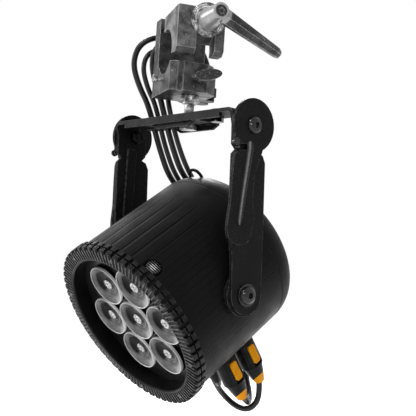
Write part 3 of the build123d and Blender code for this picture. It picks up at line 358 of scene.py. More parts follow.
def bezel_paint():
    """Black paint on a bezel: radial ribs on its face and fine ridges round its blocks, their tops painted
    lighter, partly as wear and partly as a painted highlight.
    """
    n = Nodes("bezel_paint", 0.4, specular=0.1)
    x, up, along, angle = n.local(HEAD)
    degrees = n.math("ADD", n.math("MULTIPLY", angle, 180 / math.pi), 180 + RIB_STEP * 0.375)
    radius = n.reach(x, up)
    on_face = n.times(n.ramp(along, 0.0784, 0.0791), n.ramp(radius, 0.0868, 0.0876))
    ribs = n.times(n.lines(degrees, RIB_STEP, RIB_STEP * 0.42), on_face)
    on_belt = n.ramp(radius, 0.0992, 0.1005)
    ridges = n.times(n.lines(along, 0.0019, 0.0010), on_belt)
    speckle = n.ramp(n.noise(0.0010, 3.0, 0.65), 0.5, 0.72)
    colour = n.mix(speckle, srgb(7), srgb(24))
    patchy = n.ramp(n.noise(0.009, 3.0, 0.7), 0.34, 0.66, 0.15, 1.0)
    # Rib and ridge tops painted lighter: a painted highlight, partly wear.
    worn = n.times(n.math("MAXIMUM", ribs, n.math("MULTIPLY", ridges, 0.6)), patchy)
    colour = n.mix(worn, colour, srgb(100))
    normal, on_edge = n.soft_edge(0.0006)
    # Edges painted lighter as a painted highlight.
    colour = n.mix(n.times(on_edge, patchy, 0.4), colour, srgb(84))
    normal = n.bump(ridges, 0.0005, normal)
    return n.finish(colour, normal, n.ramp(n.noise(0.02, 2.0), 0.3, 0.7, 0.3, 0.48))


def orange_latch():
    """Orange plastic with fine raised ribs across it."""
    n = Nodes("orange_plastic", 0.5, specular=0.12)
    _, up, _, _ = n.local(HEAD)
    weave = n.times(n.lines(up, 0.0021, 0.0011), n.ramp(n.noise(0.004, 2.0), 0.35, 0.55))
    colour = n.mix(n.ramp(n.noise(0.008, 3.0), 0.3, 0.7), srgb(246, 158, 0), srgb(255, 176, 6))
    colour = n.mix(n.math("MULTIPLY", weave, 0.4), colour, srgb(190, 112, 0))
    normal, on_edge = n.soft_edge(0.0008)
    # Edges painted paler orange as a painted highlight.
    colour = n.mix(n.math("MULTIPLY", on_edge, 0.35), colour, srgb(252, 190, 60))
    return n.finish(colour, n.bump(weave, 0.0004, normal))


def grille_metal():
    """Bright bars over black painted as shade for the hollow, with a painted highlight brightest in the
    middle.
    """
    n = Nodes("grille_metal", 0.5, specular=0.04)
    x, up, along, _ = n.local(HEAD)
    turn = math.radians(44)
    across = n.math("SUBTRACT", n.times(up, math.cos(turn)), n.times(x, math.sin(turn)))
    place = n.math("SUBTRACT", along, 0.060)
    centre = n.reach(across, n.math("ADD", place, 0.002))
    bars = n.times(n.lines(place, 0.0024, 0.0013), n.ramp(centre, 0.0078, 0.0072))
    # Painted highlight: the bars' tone is brightest in the middle.
    tone = n.mix(n.ramp(centre, 0.0055, 0.0025), srgb(120), srgb(255))
    grain = n.ramp(n.noise(0.002, 3.0), 0.3, 0.7, 0.75, 1.0)
    # Between the bars and round them, black is painted as shade for the hollow behind.
    return n.finish(n.mix(n.times(bars, grain), srgb(2), tone))


def rib_metal():
    """A leg rib: the leg's paint with a painted highlight along one flank."""
    n = Nodes("rib_paint", 0.42, specular=0.12)
    across, _, _, _, _ = n.spot()
    speckle = n.ramp(n.noise(0.0014, 3.0, 0.6), 0.4, 0.66)
    # Painted highlight along the rib's left flank, broken up by noise.
    highlight_stripe = n.times(n.ramp(across, -0.85, -0.5), n.ramp(across, 0.1, -0.2))
    colour = n.mix(speckle, srgb(22), srgb(54))
    colour = n.mix(n.times(highlight_stripe, n.ramp(n.noise(0.0018, 3.0), 0.3, 0.6, 0.55, 1.0)), colour, srgb(140))
    return n.finish(colour, n.bump(n.noise(0.0008, 2.0), 0.00012))


def rim_plastic():
    """A lens's rim, with a painted highlight on the side where it would catch the light."""
    n = Nodes("lens_rim", 0.25, specular=0.4)
    x, y, _, angle, whole = n.spot()
    # Painted highlight: the rim is brightest on one side.
    side = n.math("COSINE", n.math("ADD", angle, 0.7))
    broken = n.ramp(n.noise(0.9, 3.0, 0.6, place=n.divided(whole, n.reach(x, y))), 0.3, 0.7, 0.0, 1.0)
    tone = n.math("ADD", n.ramp(side, -0.8, 0.8, 0.35, 0.85), n.math("MULTIPLY", broken, 0.3), clamp=True)
    return n.finish(n.mix(tone, srgb(60), srgb(250)))


def bowl_metal():
    """The lens bowl: grey, with radial streaks, a painted highlight arc to one side and a painted shade arc
    opposite.
    """
    n = Nodes("lens_bowl", 0.3, specular=0.05)
    x, y, _, angle, whole = n.spot()
    radius = n.reach(x, y)
    side = n.math("COSINE", n.math("ADD", angle, 0.5))
    streaks = n.noise(1.1, 3.0, 0.6, place=n.divided(whole, radius))
    tone = n.ramp(radius, 0.007, 0.022, 0.2, 0.36)
    # Painted highlight arc on one side and painted shade arc on the other.
    highlight_crescent = n.times(n.ramp(side, 0.45, 0.95), n.ramp(radius, 0.015, 0.0205))
    shade = n.times(n.ramp(side, -0.1, -0.8), n.ramp(radius, 0.022, 0.015))
    tone = n.math("ADD", tone, n.math("MULTIPLY", n.math("SUBTRACT", streaks, 0.5), 1.1))
    tone = n.math("ADD", tone, n.math("MULTIPLY", highlight_crescent, 0.6))
    tone = n.math("SUBTRACT", tone, n.math("MULTIPLY", shade, 0.45), clamp=True)
    colour = n.mix(tone, srgb(8), srgb(196))
    return n.finish(colour, None, n.ramp(streaks, 0.3, 0.7, 0.2, 0.36))


# ---------------------------------------------------------------- camera, light, floor
def look(place, target, roll=0.0):
    """The matrix of something at place that looks at target."""
    forward = (Vector(target) - Vector(place)).normalized()
    right = forward.cross(Vector((0, 0, 1))).normalized()
    up = right.cross(forward)
    turned_right = math.cos(roll) * right + math.sin(roll) * up
    turned_up = math.cos(roll) * up - math.sin(roll) * right
    return frame_matrix(turned_right, turned_up, -forward, Vector(place))


def add_camera():
    """The photo's camera; its place, aim, roll and lens come from a scratch fit to the photo."""
    data = bpy.data.cameras.new("camera")
    data.lens = 74.1
    data.sensor_width = 36
    camera = bpy.data.objects.new("camera", data)
    camera.matrix_world = look((0.7583, -0.5913, -0.2209), (0.04451, 0, -0.1730), math.radians(3.73))
    bpy.context.scene.collection.objects.link(camera)
    bpy.context.scene.camera = camera


def add_lamp(name, place, target, size, power):
    data = bpy.data.lights.new(name, "AREA")
    data.shape = "DISK"
    data.size = size
    data.energy = power
    lamp = bpy.data.objects.new(name, data)
    lamp.matrix_world = look(place, target)
    bpy.context.scene.collection.objects.link(lamp)


def seen_directly(tree):
    """1 for camera, glossy and transmission rays, 0 for the rest."""
    path = tree.nodes.new("ShaderNodeLightPath")
    total = path.outputs["Is Camera Ray"]
    for name in ("Is Glossy Ray", "Is Transmission Ray"):
        node = tree.nodes.new("ShaderNodeMath")
        node.operation = "MAXIMUM"
        tree.links.new(total, node.inputs[0])
        tree.links.new(path.outputs[name], node.inputs[1])
        total = node.outputs[0]
    return total


def add_world():
    world = bpy.data.worlds.new("studio")
    bpy.context.scene.world = world
    world.use_nodes = True
    tree = world.node_tree
    background = tree.nodes["Background"]
    background.inputs["Color"].default_value = (1, 1, 1, 1)
    strength = tree.nodes.new("ShaderNodeMapRange")
    tree.links.new(seen_directly(tree), strength.inputs["Value"])
    strength.inputs["To Min"].default_value = 0.3
    strength.inputs["To Max"].default_value = 1.0
    tree.links.new(strength.outputs["Result"], background.inputs["Strength"])


def add_floor():
    """A wide pale floor below the light."""
    mesh = bpy.data.meshes.new("floor")
    half = 6.0
    level = cad_box[0][2] - 0.22
    corners = [(-half, -half, level), (half, -half, level), (half, half, level), (-half, half, level)]
    mesh.from_pydata(corners, [], [(0, 1, 2, 3)])
    floor = bpy.data.objects.new("floor", mesh)
    bpy.context.scene.collection.objects.link(floor)
    n = Nodes("floor", 0.9, specular=0.1)
    n.finish(n.mix(n.noise(0.4, 2.0), srgb(243), srgb(250)))
    n.shader.inputs["Emission Color"].default_value = (1, 1, 1, 1)
    glow = n.math("MULTIPLY", seen_directly(n.tree), 0.8)
    n.put(glow, n.shader.inputs["Emission Strength"])
    mesh.materials.append(n.material)


# ---------------------------------------------------------------- mesh helpers
def add_piece(name, verts, faces, body, slot, material, smooth=True, replaced=(), spots=None):
    """A mesh object from points in the row frame, riding on a body.

    spots gives each point's place in its own copy's axes, for the material.
    """
    mesh = bpy.data.meshes.new(name)
    mesh.from_pydata([tuple(v) for v in verts], [], faces)
    mesh.update()
    if spots:
        layer = mesh.attributes.new("spot", "FLOAT_VECTOR", "POINT")
        layer.data.foreach_set("vector", [number for spot in spots for number in spot])
    if smooth:
        mesh.shade_smooth()
    piece = bpy.data.objects.new(name, mesh)
    bpy.context.scene.collection.objects.link(piece)
    mesh.materials.append(material)
    if body:
        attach(piece, body)
    if replaced:
        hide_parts(*replaced)
    return piece


def dress(material, *names):
    """Gives CAD nodes a material."""
    for name in names:
        mesh = nodes[name].data
        mesh.materials.clear()
        mesh.materials.append(material)


def turned(profile, matrix, steps=64):
    """Points and faces of a profile of (radius, height) turned about z, in millimetres."""
    verts, faces = [], []
    for radius, height in profile:
        for k in range(steps):
            angle = 2 * math.pi * k / steps
            point = Vector((radius * math.cos(angle), radius * math.sin(angle), height)) * MM
            verts.append(matrix @ point)
    for row in range(len(profile) - 1):
        for k in range(steps):
            a, b = row * steps + k, row * steps + (k + 1) % steps
            faces.append((a, b, b + steps, a + steps))
    return verts, faces


def gathered(parts):
    """Several (points, faces) as one."""
    verts, faces = [], []
    for part_verts, part_faces in parts:
        start = len(verts)
        verts += part_verts
        faces += [tuple(i + start for i in face) for face in part_faces]
    return verts, faces


# ---------------------------------------------------------------- lenses
LENS_PITCH = 49.5
LENS_EDGE = 23.6
BOWL_TOP = 66.4
BOWL_INSET = 0.9
BOWL_FLOOR = 61.0
CORE_RADIUS = 6.2


def lens_places():
    """One place in the middle and six round it, as matrices."""
    places = [(0.0, 0.0)]
    for number in range(6):
        angle = math.radians(60 * number)
        places.append((LENS_PITCH * math.cos(angle), LENS_PITCH * math.sin(angle)))
    return [HEAD @ Matrix.Translation((x * MM, up * MM, 0)) for x, up in places]


def bowl_profile():
    """A parabola from the lens's rim down to its core."""
    steps = 12
    points = []
    for k in range(steps + 1):
        share = k / steps
        radius = LENS_EDGE - BOWL_INSET - (LENS_EDGE - BOWL_INSET - CORE_RADIUS) * share
        points.append((radius, BOWL_TOP - (BOWL_TOP - BOWL_FLOOR) * (1 - (1 - share) ** 1.8)))
    return points


def add_lenses(rim, bowl, core, die):
    """Each lens: a rim, a bowl, a clear core and the four dies that it shows."""
    rim_profile = [
        (LENS_EDGE, BOWL_FLOOR), (LENS_EDGE, BOWL_TOP + 0.3), (LENS_EDGE - 0.2, BOWL_TOP + 0.6),
        (LENS_EDGE - 0.7, BOWL_TOP + 0.6), (LENS_EDGE - BOWL_INSET, BOWL_TOP),
    ]
    arc = [k * math.pi / 16 for k in range(9)]
    dome = [(CORE_RADIUS * math.cos(a), BOWL_FLOOR + 2.2 + 1.6 * math.sin(a)) for a in arc]
    core_profile = [(CORE_RADIUS, BOWL_FLOOR)] + dome[:-1] + [(0.02, dome[-1][1])]
    places = lens_places()
    shapes = (
        ("lens_rims", rim_profile, rim),
        ("lens_bowls", bowl_profile(), bowl),
        ("lens_cores", core_profile, core),
    )
    for name, profile, material in shapes:
        verts, faces = gathered([turned(profile, place, 72) for place in places])
        spots, _ = gathered([turned(profile, Matrix.Identity(4), 72) for _ in places])
        add_piece(name, verts, faces, "head", "lens_clear", material, replaced=("lenses",), spots=spots)
    dies = []
    for place in places:
        for x, up in ((-1.6, -1.6), (1.6, -1.6), (-1.6, 1.6), (1.6, 1.6)):
            spot = place @ Matrix.Translation((x * MM, up * MM, (BOWL_FLOOR + 3.3) * MM))
            dies.append(turned([(1.0, -0.6), (1.0, 0.3), (0.7, 0.5), (0.02, 0.55)], spot, 20))
    add_piece("led_dies", *gathered(dies), "head", "emitter", die)


# ---------------------------------------------------------------- bezel
BEZEL_RADIUS = 101.4
BEZEL_BORE = 84.4
BEZEL_LOW = 98.4
BEZEL_FACE = 79.5
BLOCK_STEP = 6.0
SLOT_SHARE = 0.3
SCREW_CIRCLE = 92.5


def add_bezel(material, screw_material):
    """A ring with radial ribs on its face and two bands of blocks round it."""
    steps = 720
    verts, faces = [], []
    for k in range(steps):
        degrees = 360 * k / steps
        face = BEZEL_FACE if degrees % RIB_STEP < RIB_STEP / 2 - 0.01 else BEZEL_FACE - 1.1
        edge = BEZEL_LOW if degrees / BLOCK_STEP % 1 < SLOT_SHARE else BEZEL_RADIUS
        profile = [
            (BEZEL_BORE, 58.6), (BEZEL_BORE, 77.8), (85.6, 79.1), (87.0, 79.1), (87.3, face),
            (BEZEL_LOW - 0.5, face), (edge - 0.3, 78.2), (edge, 73.6), (BEZEL_LOW, 73.4), (BEZEL_LOW, 72.2),
            (edge, 72.0), (edge, 66.2), (98.6, 66.1),
        ]
        angle = math.radians(degrees)
        for radius, along in profile:
            verts.append(HEAD @ (Vector((radius * math.cos(angle), radius * math.sin(angle), along)) * MM))
        rows = len(profile)
        here, ahead = k * rows, (k + 1) % steps * rows
        faces += [(here + r, here + r + 1, ahead + r + 1, ahead + r) for r in range(rows - 1)]
    add_piece(
        "bezel_ring", verts, faces, "head", "head_paint", material, smooth=False, replaced=("front_bezel",)
    )
    heads = []
    for number in range(8):
        angle = math.radians(22.5 + 45 * number)
        place = Vector((SCREW_CIRCLE * math.cos(angle), SCREW_CIRCLE * math.sin(angle), BEZEL_FACE)) * MM
        dome = [(2.3, -1.1), (2.3, -0.5), (1.7, -0.05), (0.9, -0.05), (0.8, -0.8), (0.02, -0.8)]
        heads.append(turned(dome, HEAD @ Matrix.Translation(place), 20))
    add_piece("bezel_screws", *gathered(heads), "head", "dark_steel", screw_material)


# ---------------------------------------------------------------- clamp handle
HUB_START = 46.3
HUB_END = 87.3
HUB_ROOT = 12.0
HUB_TIP = 9.0
HUB_CAP = 6.5
LEVER_LENGTH = 81.0
LEVER_ROOT = 8.5
LEVER_TIP = 5.0
LEVER_THICKNESS = 9.0
LEVER_DROP = math.radians(26)


def add_handle(material):
    """A tapered hub and a lever whose front is roofed, with a bevelled end."""
    hub = [
        (HUB_CAP, HUB_START), (HUB_ROOT, HUB_START), (HUB_ROOT, HUB_START + 2.5),
        (HUB_ROOT - 0.8, HUB_START + 3.3), (HUB_TIP + 0.6, HUB_END - 9), (HUB_TIP, HUB_END - 8),
        (HUB_TIP, HUB_END - 1.2), (HUB_TIP - 1.2, HUB_END), (HUB_CAP, HUB_END), (HUB_CAP, HUB_END - 2),
    ]
    lift = Matrix.Translation((0, 0, (HUB_END - LEVER_THICKNESS - 3) * MM))
    lever = SCREW @ lift @ Matrix.Rotation(-LEVER_DROP, 4, "Z")
    verts = []
    stations = ((HUB_CAP + 0.5, 1.0, 0.0), (LEVER_LENGTH - 4.5, 1.0, 0.0), (LEVER_LENGTH, 0.72, 2.4))
    for reach, share, sunk in stations:
        half = (LEVER_ROOT + (LEVER_TIP - LEVER_ROOT) * reach / LEVER_LENGTH) * share
        top = LEVER_THICKNESS - sunk
        section = ((-half, 0.3), (half, 0.3), (half, top - 2.6), (-0.12 * half, top), (-half, top - 3.4))
        for across, height in section:
            verts.append(lever @ (Vector((reach, across, height)) * MM))
    faces = [(4, 3, 2, 1, 0), (10, 11, 12, 13, 14)]
    for row in range(2):
        for k in range(5):
            a, b = 5 * row + k, 5 * row + (k + 1) % 5
            faces.append((a, b, b + 5, a + 5))
    add_piece(
        "handle_lever", verts, faces, "handle", "handle_metal", material, smooth=False,
        replaced=("ratchet_handle",),
    )
    verts, faces = turned(hub, SCREW, 64)
    add_piece("handle_hub", verts, faces, "handle", "handle_metal", material, replaced=("ratchet_handle",))


# ---------------------------------------------------------------- folding legs
PIVOT_LEVEL = -87.3
LEG_INSIDE = 107.2
LEG_THICKNESS = 3.5
DISC_RADIUS = 28.0
LEFT_SWING = 3.0
RIB_HEIGHT = 1.6
# Outlines in (y, up) from the pivot, taken from a scratch program's readings of the photo.
LEG_OUTLINE = [
    (13.2, -27.5), (8.3, -38.6), (4.8, -52.8), (4.1, -66.7), (4.3, -77), (6.7, -87.1), (7.9, -95.6),
    (5.9, -107.8), (3.3, -117.5), (0.1, -121), (-5.4, -123.8), (-13.3, -124.5), (-20.6, -122.3),
    (-26, -117), (-28.2, -110), (-28, -101.7), (-25.9, -83), (-25.1, -52.6), (-24.3, -35.6), (-22.9, -31),
    (-18, -28), (-4.6, -26), (-5.1, -19.8), (-14.2, -21), (-24.3, -22.9), (-25.2, -17),
]
RIB_LINE = [  # y, up and half width
    (-4.9, -17.5, 2.0), (-4.0, -20, 4.6), (-3.5, -25, 4.6), (-6.5, -50.5, 4.2), (-9.6, -75, 3.7),
    (-11.9, -98, 3.2), (-12.4, -101.5, 2.4), (-12.6, -104, 0.8),
]
RIB_SECTION = [(-1.0, 0.0), (-0.72, 0.8), (-0.3, 1.0), (0.3, 1.0), (0.72, 0.8), (1.0, 0.0)]


def leg_point(side, outward, y, up):
    """A point of a leg in the row frame; side is 1 on the right and -1 on the left."""
    swing = math.radians(LEFT_SWING if side < 0 else 0)
    turned_y = y * math.cos(swing) - up * math.sin(swing)
    turned_up = y * math.sin(swing) + up * math.cos(swing)
    return Vector((side * outward, turned_y, PIVOT_LEVEL + turned_up)) * MM


def add_leg(name, side, body, plate_paint, rib_paint):
    """A flat leg with a round head, a notch for its stop and a rounded rib along it."""
    arc = [math.radians(205 - 265 * k / 40) for k in range(41)]
    outline = [(DISC_RADIUS * math.cos(a), DISC_RADIUS * math.sin(a)) for a in arc] + LEG_OUTLINE
    count = len(outline)
    outside = LEG_INSIDE + LEG_THICKNESS
    verts = [leg_point(side, x, y, up) for x in (LEG_INSIDE, outside) for y, up in outline]
    faces = [tuple(range(count)), tuple(reversed(range(count, 2 * count)))]
    faces += [(k, k + count, (k + 1) % count + count, (k + 1) % count) for k in range(count)]
    add_piece(f"{name}_plate", verts, faces, body, "yoke_paint", plate_paint, smooth=False, replaced=(name,))
    verts, faces, spots = [], [], []
    width = len(RIB_SECTION)
    for y, up, half in RIB_LINE:
        for across, height in RIB_SECTION:
            verts.append(leg_point(side, outside + height * RIB_HEIGHT - 0.05, y + across * half, up))
            spots.append((across, 0, 0))
    for row in range(len(RIB_LINE) - 1):
        for k in range(width - 1):
            a = row * width + k
            faces.append((a, a + 1, a + 1 + width, a + width))
    faces += [tuple(range(width)), tuple(range(len(verts) - width, len(verts)))]
    add_piece(f"{name}_rib", verts, faces, body, "yoke_paint", rib_paint, replaced=(name,), spots=spots)


def add_notch_pins(material):
    """The small rounded pin heads on the arms beside the legs' notches."""
    for side, name in ((1, "notch_pin_right"), (-1, "notch_pin_left")):
        place = leg_point(side, LEG_INSIDE - 0.5, -18.6, -24.6)
        axes = frame_matrix(Vector((0, side, 0)), Vector((0, 0, 1)), Vector((side, 0, 0)), place)
        head = [(2.3, 0), (2.3, 2.2), (1.9, 3.1), (1.1, 3.7), (0.02, 3.9)]
        add_piece(name, *turned(head, axes, 24), "yoke", "dark_steel", material)


# ---------------------------------------------------------------- power plugs
PLUG_X = 17.0
PLUG_PLACES = {"rear": -35.0, "front": -3.0}
LATCH_TOP = -103.0
LATCH_LENGTH = 24.0
LATCH_HALF = 5.0
LATCH_CHAMFER = 2.0
LATCH_SEAT = 27.6
LATCH_FACE = 31.4
COLLAR_TOP = -150.0
COLLAR_FLARE = 5.5
FLUTE_END = 131.0
PLUG_GROOVE = 132.2


def plug_axes(place):
    """The axes of a power plug: x towards its latch, y along the beam, z down its lead."""
    down = -HEAD_UP
    return frame_matrix(Vector((1, 0, 0)), down.cross(Vector((1, 0, 0))), down, head_place(PLUG_X, 0, place))


def add_latches(material):
    """The plugs' latches: flat bars with chamfered corners and a slightly crowned face."""
    near, far = LATCH_TOP, LATCH_TOP - LATCH_LENGTH
    half, cut = LATCH_HALF, LATCH_CHAMFER
    outline = [
        (near, -half + cut), (near, half - cut), (near - 1.3 * cut, half), (far + 1.3 * cut, half),
        (far, half - cut), (far, -half + cut), (far + 1.3 * cut, -half), (near - 1.3 * cut, -half),
    ]
    centre = (near + far) / 2
    count = len(outline)
    for key, place in PLUG_PLACES.items():
        verts = []
        for x, share in ((LATCH_SEAT, 1.0), (LATCH_FACE - 0.8, 1.0), (LATCH_FACE, 0.84)):
            for up, across in outline:
                verts.append(head_place(x, centre + (up - centre) * (1 + share) / 2, place + across * share))
        faces = [tuple(range(count)), tuple(reversed(range(2 * count, 3 * count)))]
        for row in (0, count):
            for k in range(count):
                ahead = row + (k + 1) % count
                faces.append((row + k, row + k + count, ahead + count, ahead))
        name = f"power_latch_{key}"
        add_piece(
            f"{name}_bar", verts, faces, f"{key}_latch", "orange_plastic", material, smooth=False,
            replaced=(name,),
        )


def plug_skin(name, place):
    """A power plug's black skin: lengthwise flutes down to a groove round its shoulder, both painted near
    black as painted shade.
    """
    n = Nodes(name, 0.34, specular=0.08)
    _, _, down, angle = n.local(plug_axes(place))
    degrees = n.math("ADD", n.math("MULTIPLY", angle, 180 / math.pi), 180)
    flute_end = n.ramp(down, (FLUTE_END + 0.5) * MM, (FLUTE_END - 0.5) * MM)
    flutes = n.times(n.lines(degrees, 30.0, 4.5), flute_end)
    band = n.lines(n.math("SUBTRACT", down, PLUG_GROOVE * MM - 0.05), 0.1, 0.0016)
    mark = n.math("MAXIMUM", flutes, band)
    colour = n.mix(n.ramp(n.noise(0.008, 3.0), 0.35, 0.7), srgb(8), srgb(30))
    # Flutes and shoulder groove painted near black as painted shade.
    colour = n.mix(mark, colour, srgb(2))
    normal, _ = n.soft_edge(0.0007)
    return n.finish(colour, n.bump(n.math("SUBTRACT", 1.0, mark), 0.0008, normal))


def boot_skin():
    """The boots' black rubber, with the orange collar rising on the latch's side of each."""
    n = Nodes("boot_skin", 0.3, specular=0.08)
    middle = sum(PLUG_PLACES.values()) / 2
    x, y, down, _ = n.local(plug_axes(middle))
    aside = n.math("SUBTRACT", n.math("ABSOLUTE", y), (PLUG_PLACES["front"] - middle) * MM)
    towards = n.math("DIVIDE", x, n.math("ADD", n.reach(x, aside), 0.0001))
    rise = n.math("MAXIMUM", n.math("MULTIPLY", towards, COLLAR_FLARE * MM), 0.0)
    collar = n.ramp(n.math("ADD", down, rise), -COLLAR_TOP * MM - 0.0002, -COLLAR_TOP * MM + 0.0002)
    colour = n.mix(n.ramp(n.noise(0.008, 3.0), 0.35, 0.7), srgb(7), srgb(26))
    colour = n.mix(collar, colour, srgb(250, 164, 2))
    normal, _ = n.soft_edge(0.0007)
    return n.finish(colour, normal)


# ---------------------------------------------------------------- leads
def curve_points(route, density):
    """Points along the smooth NURBS line that a route's points control."""
    data = bpy.data.curves.new("route", "CURVE")
    data.dimensions = "3D"
    data.resolution_u = density
    spline = data.splines.new("NURBS")
    spline.points.add(len(route) - 1)
    for control, point in zip(spline.points, route):
        control.co = (*point, 1.0)
    spline.order_u = 3
    spline.use_endpoint_u = True
    holder = bpy.data.objects.new("route", data)
    mesh = bpy.data.meshes.new_from_object(holder)
    points = [v.co.copy() for v in mesh.vertices]
    bpy.data.objects.remove(holder)
    bpy.data.meshes.remove(mesh)
    bpy.data.curves.remove(data)
    return points


def tube_around(points, radius, steps=20):
    """A round tube along points, with closed ends."""
    verts, faces = [], []
    side = None
    for i, point in enumerate(points):
        ahead = (points[min(i + 1, len(points) - 1)] - points[max(i - 1, 0)]).normalized()
        if side is None:
            side = ahead.orthogonal().normalized()
        side = (side - ahead * side.dot(ahead)).normalized()
        across = ahead.cross(side)
        for k in range(steps):
            angle = 2 * math.pi * k / steps
            verts.append(point + radius * (math.cos(angle) * side + math.sin(angle) * across))
    for row in range(len(points) - 1):
        for k in range(steps):
            a, b = row * steps + k, row * steps + (k + 1) % steps
            faces.append((a, b, b + steps, a + steps))
    faces.append(tuple(reversed(range(steps))))
    faces.append(tuple(range((len(points) - 1) * steps, len(points) * steps)))
    return verts, faces


def head_place(x, up, place):
    """A point of the head's own axes, in millimetres, in the row frame."""
    return HEAD @ (Vector((x, up, place)) * MM)


LOWER_ROUTES = {
    "power_rear": [
        (17, -154, -35), (17, -165, -30), (16, -177, -20), (8, -182, -9), (-6, -177, -4), (-26, -166, -7),
        (-50, -160, -18), (-72, -142, -34), (-80, -114, -58), (-80, -84, -92), (-76, -50, -114),
        (-73, -8, -124), (-72, 36, -120),
    ],
    "power_front": [
        (17, -154, -3), (12, -168, -9), (-4, -184, -21), (-20, -186, -38), (-33, -174, -52), (-41, -154, -68),
        (-44, -128, -90), (-46, -98, -112), (-48, -60, -126), (-48, -14, -131), (-48, 34, -126),
    ],
    "data_rear": [
        (-19, -138, -35), (-22, -152, -37), (-34, -159, -44), (-52, -154, -50), (-66, -136, -60),
        (-69, -110, -78), (-65, -84, -101), (-61, -50, -114), (-60, -8, -121), (-60, 36, -118),
    ],
    "data_front": [
        (-19, -138, -3), (-23, -149, -6), (-34, -154, -14), (-48, -146, -25), (-58, -124, -44),
        (-57, -99, -73), (-50, -78, -101), (-42, -47, -114), (-37, -8, -119), (-35, 36, -116),
    ],
}
TIE_ROUTES = {
    "power_rear": [(-76, 38, -138), (-82, 21, -97), (-84, 13, -73)],
    "power_front": [(-50, 38, -136), (-56, 21, -97), (-58, 13, -73)],
    "data_rear": [(-63, 38, -137), (-70, 21, -97), (-71, 13, -73)],
    "data_front": [(-37, 38, -134), (-44, 21, -97), (-46, 13, -73)],
}
UPPER_ROUTES = {
    "power_rear": [
        (-84, 13, -73), (-86, 5, -49), (-89, -10, -26), (-91, -20, 0), (-84, -16, 24), (-72, 6, 36),
        (-61, 36, 31), (-57, 58, 14), (-57, 62, -8),
    ],
    "power_front": [
        (-58, 13, -73), (-60, 5, -49), (-62, 0, -34), (-63, -10, -12), (-62, -12, 12), (-59, 5, 29),
        (-47, 32, 31), (-38, 51, 14), (-37.5, 55, -8),
    ],
    "data_rear": [
        (-71, 13, -73), (-72, 5, -49), (-76, -6, -30), (-77, -15, -6), (-76, -8, 14), (-71, 15, 22),
        (-66, 37, 11), (-64, 43.5, -8),
    ],
    "data_front": [
        (-46, 13, -73), (-47.5, 7, -55), (-52, 6, -36), (-55, 0, -16), (-56, 2, 2), (-51, 18, 13),
        (-46, 33, 7), (-44.3, 36.4, -8),
    ],
}
LEADS = {  # diameter, lower length, upper length, in millimetres
    "power_rear": (7.0, 462.0, 212.1),
    "power_front": (7.0, 435.9, 188.2),
    "data_rear": (6.0, 374.8, 160.3),
    "data_front": (6.0, 378.7, 126.4),
}


def add_lead(name, route, diameter, material):
    """A lead as a round tube along a smooth route through the given points."""
    points = curve_points(route, 14)
    verts, faces = tube_around(points, diameter / 2)
    tube = add_piece(f"{name}_cable", verts, faces, None, "lead_jacket", material, replaced=(name,))
    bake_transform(tube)
    return tube


def add_leads(material):
    for key, (diameter, lower_length, upper_length) in LEADS.items():
        lower = [head_place(*point) for point in LOWER_ROUTES[key]]
        lower += [Vector(point) * MM for point in TIE_ROUTES[key]]
        upper = [Vector(point) * MM for point in UPPER_ROUTES[key]]
        add_lead(
            f"lead_{key}_lower", lower, diameter * MM,
            material,
        )
        add_lead(
            f"lead_{key}_upper", upper, diameter * MM,
            material,
        )


# ---------------------------------------------------------------- materials
clamp_paint = worn_metal("clamp_paint", 34, 92, 196, 0.42)
yoke_paint = coated("yoke_paint", 21, 52, 0.5, specular=0.08, edge=128, edge_radius=0.0010)
rib_paint = rib_metal()
head_paint = coated("head_paint", 9, 26, 0.42, specular=0.06, edge=58)
black_plastic = plastic("black_plastic", 9, 0.34, specular=0.1)
seal_rubber = plastic("seal_rubber", 30, 0.6, specular=0.15)
orange_plastic = orange_latch()
lead_jacket = plastic("lead_jacket", 10, 0.34, specular=0.3)
bright_steel = metal("bright_steel", 176, 52, 0.34, grain=0.007, metallic=0.85)
washer_steel = ringed_metal()
dark_steel = plastic("dark_steel", 6, 0.14, specular=0.4)
spigot_steel = metal("spigot_steel", 232, 84, 0.3, grain=0.007, metallic=0.7)
wing_metal = coated("wing_metal", 34, 120, 0.35, specular=0.3, grain=0.0016, edge=190, edge_radius=0.0014)
handle_metal = worn_metal("handle_metal", 36, 84, 240, 0.3, polished=0.45)
jaw_paint = worn_metal("jaw_paint", 52, 124, 225, 0.4)
window_plastic = plastic("window_plastic", 12, 0.08, specular=0.6)
mask_plastic = plastic("mask_plastic", 18, 0.32, specular=0.16)
aluminium = metal("aluminium", 190, 150, 0.4)
board = plastic("board", 0, 0.5, tint=(16, 58, 34))
supply_metal = metal("supply_metal", 170, 130, 0.45)
lens_rim = rim_plastic()
lens_core = metal("lens_core", 190, 120, 0.14, metallic=0.8)
led_die = plastic("led_die", 0, 0.3, tint=(22, 22, 20), specular=0.5)
screw_steel = metal("screw_steel", 120, 60, 0.3, metallic=0.7)

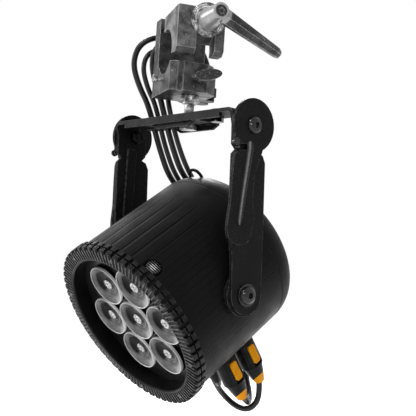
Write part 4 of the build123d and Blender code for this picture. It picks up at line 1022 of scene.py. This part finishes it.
dress(clamp_paint, "clamp_base")
dress(jaw_paint, "clamp_jaw")
dress(washer_steel, "clamp_washer")
dress(bright_steel, "clamp_screw", "led_emitters")
dress(spigot_steel, "spigot", "lock_pin")
add_handle(handle_metal)
dress(wing_metal, "handle_screw")
dress(dark_steel, "pivot_bolts", "anchor_bolt", "tilt_bolts", "housing_screws")
dress(yoke_paint, "yoke_bracket", "yoke_channel", "tilt_bosses")
dress(dark_steel, "stop_pin_left", "stop_pin_right")
add_leg("leg_right", 1, "right_leg", yoke_paint, rib_paint)
add_leg("leg_left", -1, "left_leg", yoke_paint, rib_paint)
add_notch_pins(dark_steel)
dress(head_paint, "connector_panel", "safety_eye")
dress(shell_paint("cover_paint", False), "rear_cover")
dress(shell_paint("housing_paint", True), "main_housing")
add_bezel(bezel_paint(), screw_steel)
dress(grille_metal(), "vent_grille")
dress(seal_rubber, "housing_seals", "crossbar_tie", "clamp_strap")
add_latches(orange_plastic)
dress(black_plastic, "data_plugs", "panel_sockets", "line_connectors", "lens_holders")
dress(black_plastic, *(name for name in nodes if name.startswith("menu_button")))
dress(boot_skin(), "power_boots")
for key, place in PLUG_PLACES.items():
    dress(plug_skin(f"plug_skin_{key}", place), f"power_plug_{key}")
dress(wing_metal, "wing_screw")
dress(orange_plastic, "boot_collars")
dress(window_plastic, "display_window")
dress(mask_plastic, "lens_mask")
add_lenses(lens_rim, bowl_metal(), lens_core, led_die)
dress(aluminium, "heatsink")
dress(board, "led_board", "circuit_boards")
dress(supply_metal, "power_supply")

add_camera()
add_world()
add_floor()
add_lamp("key", (0.1, -1.5, 1.7), (0, 0, -0.2), 0.7, 24)
add_lamp("left", (-1.3, -1.2, 0.4), (0, 0, -0.2), 0.6, 12)
add_lamp("back_left", (-1.4, 0.9, 1.0), (0, 0, -0.2), 0.8, 30)
add_lamp("spark", (1.2, -0.5, 0.1), (0, 0, -0.2), 0.12, 1.6)
add_leads(lead_jacket)

bpy.context.scene.view_settings.view_transform = "Standard"
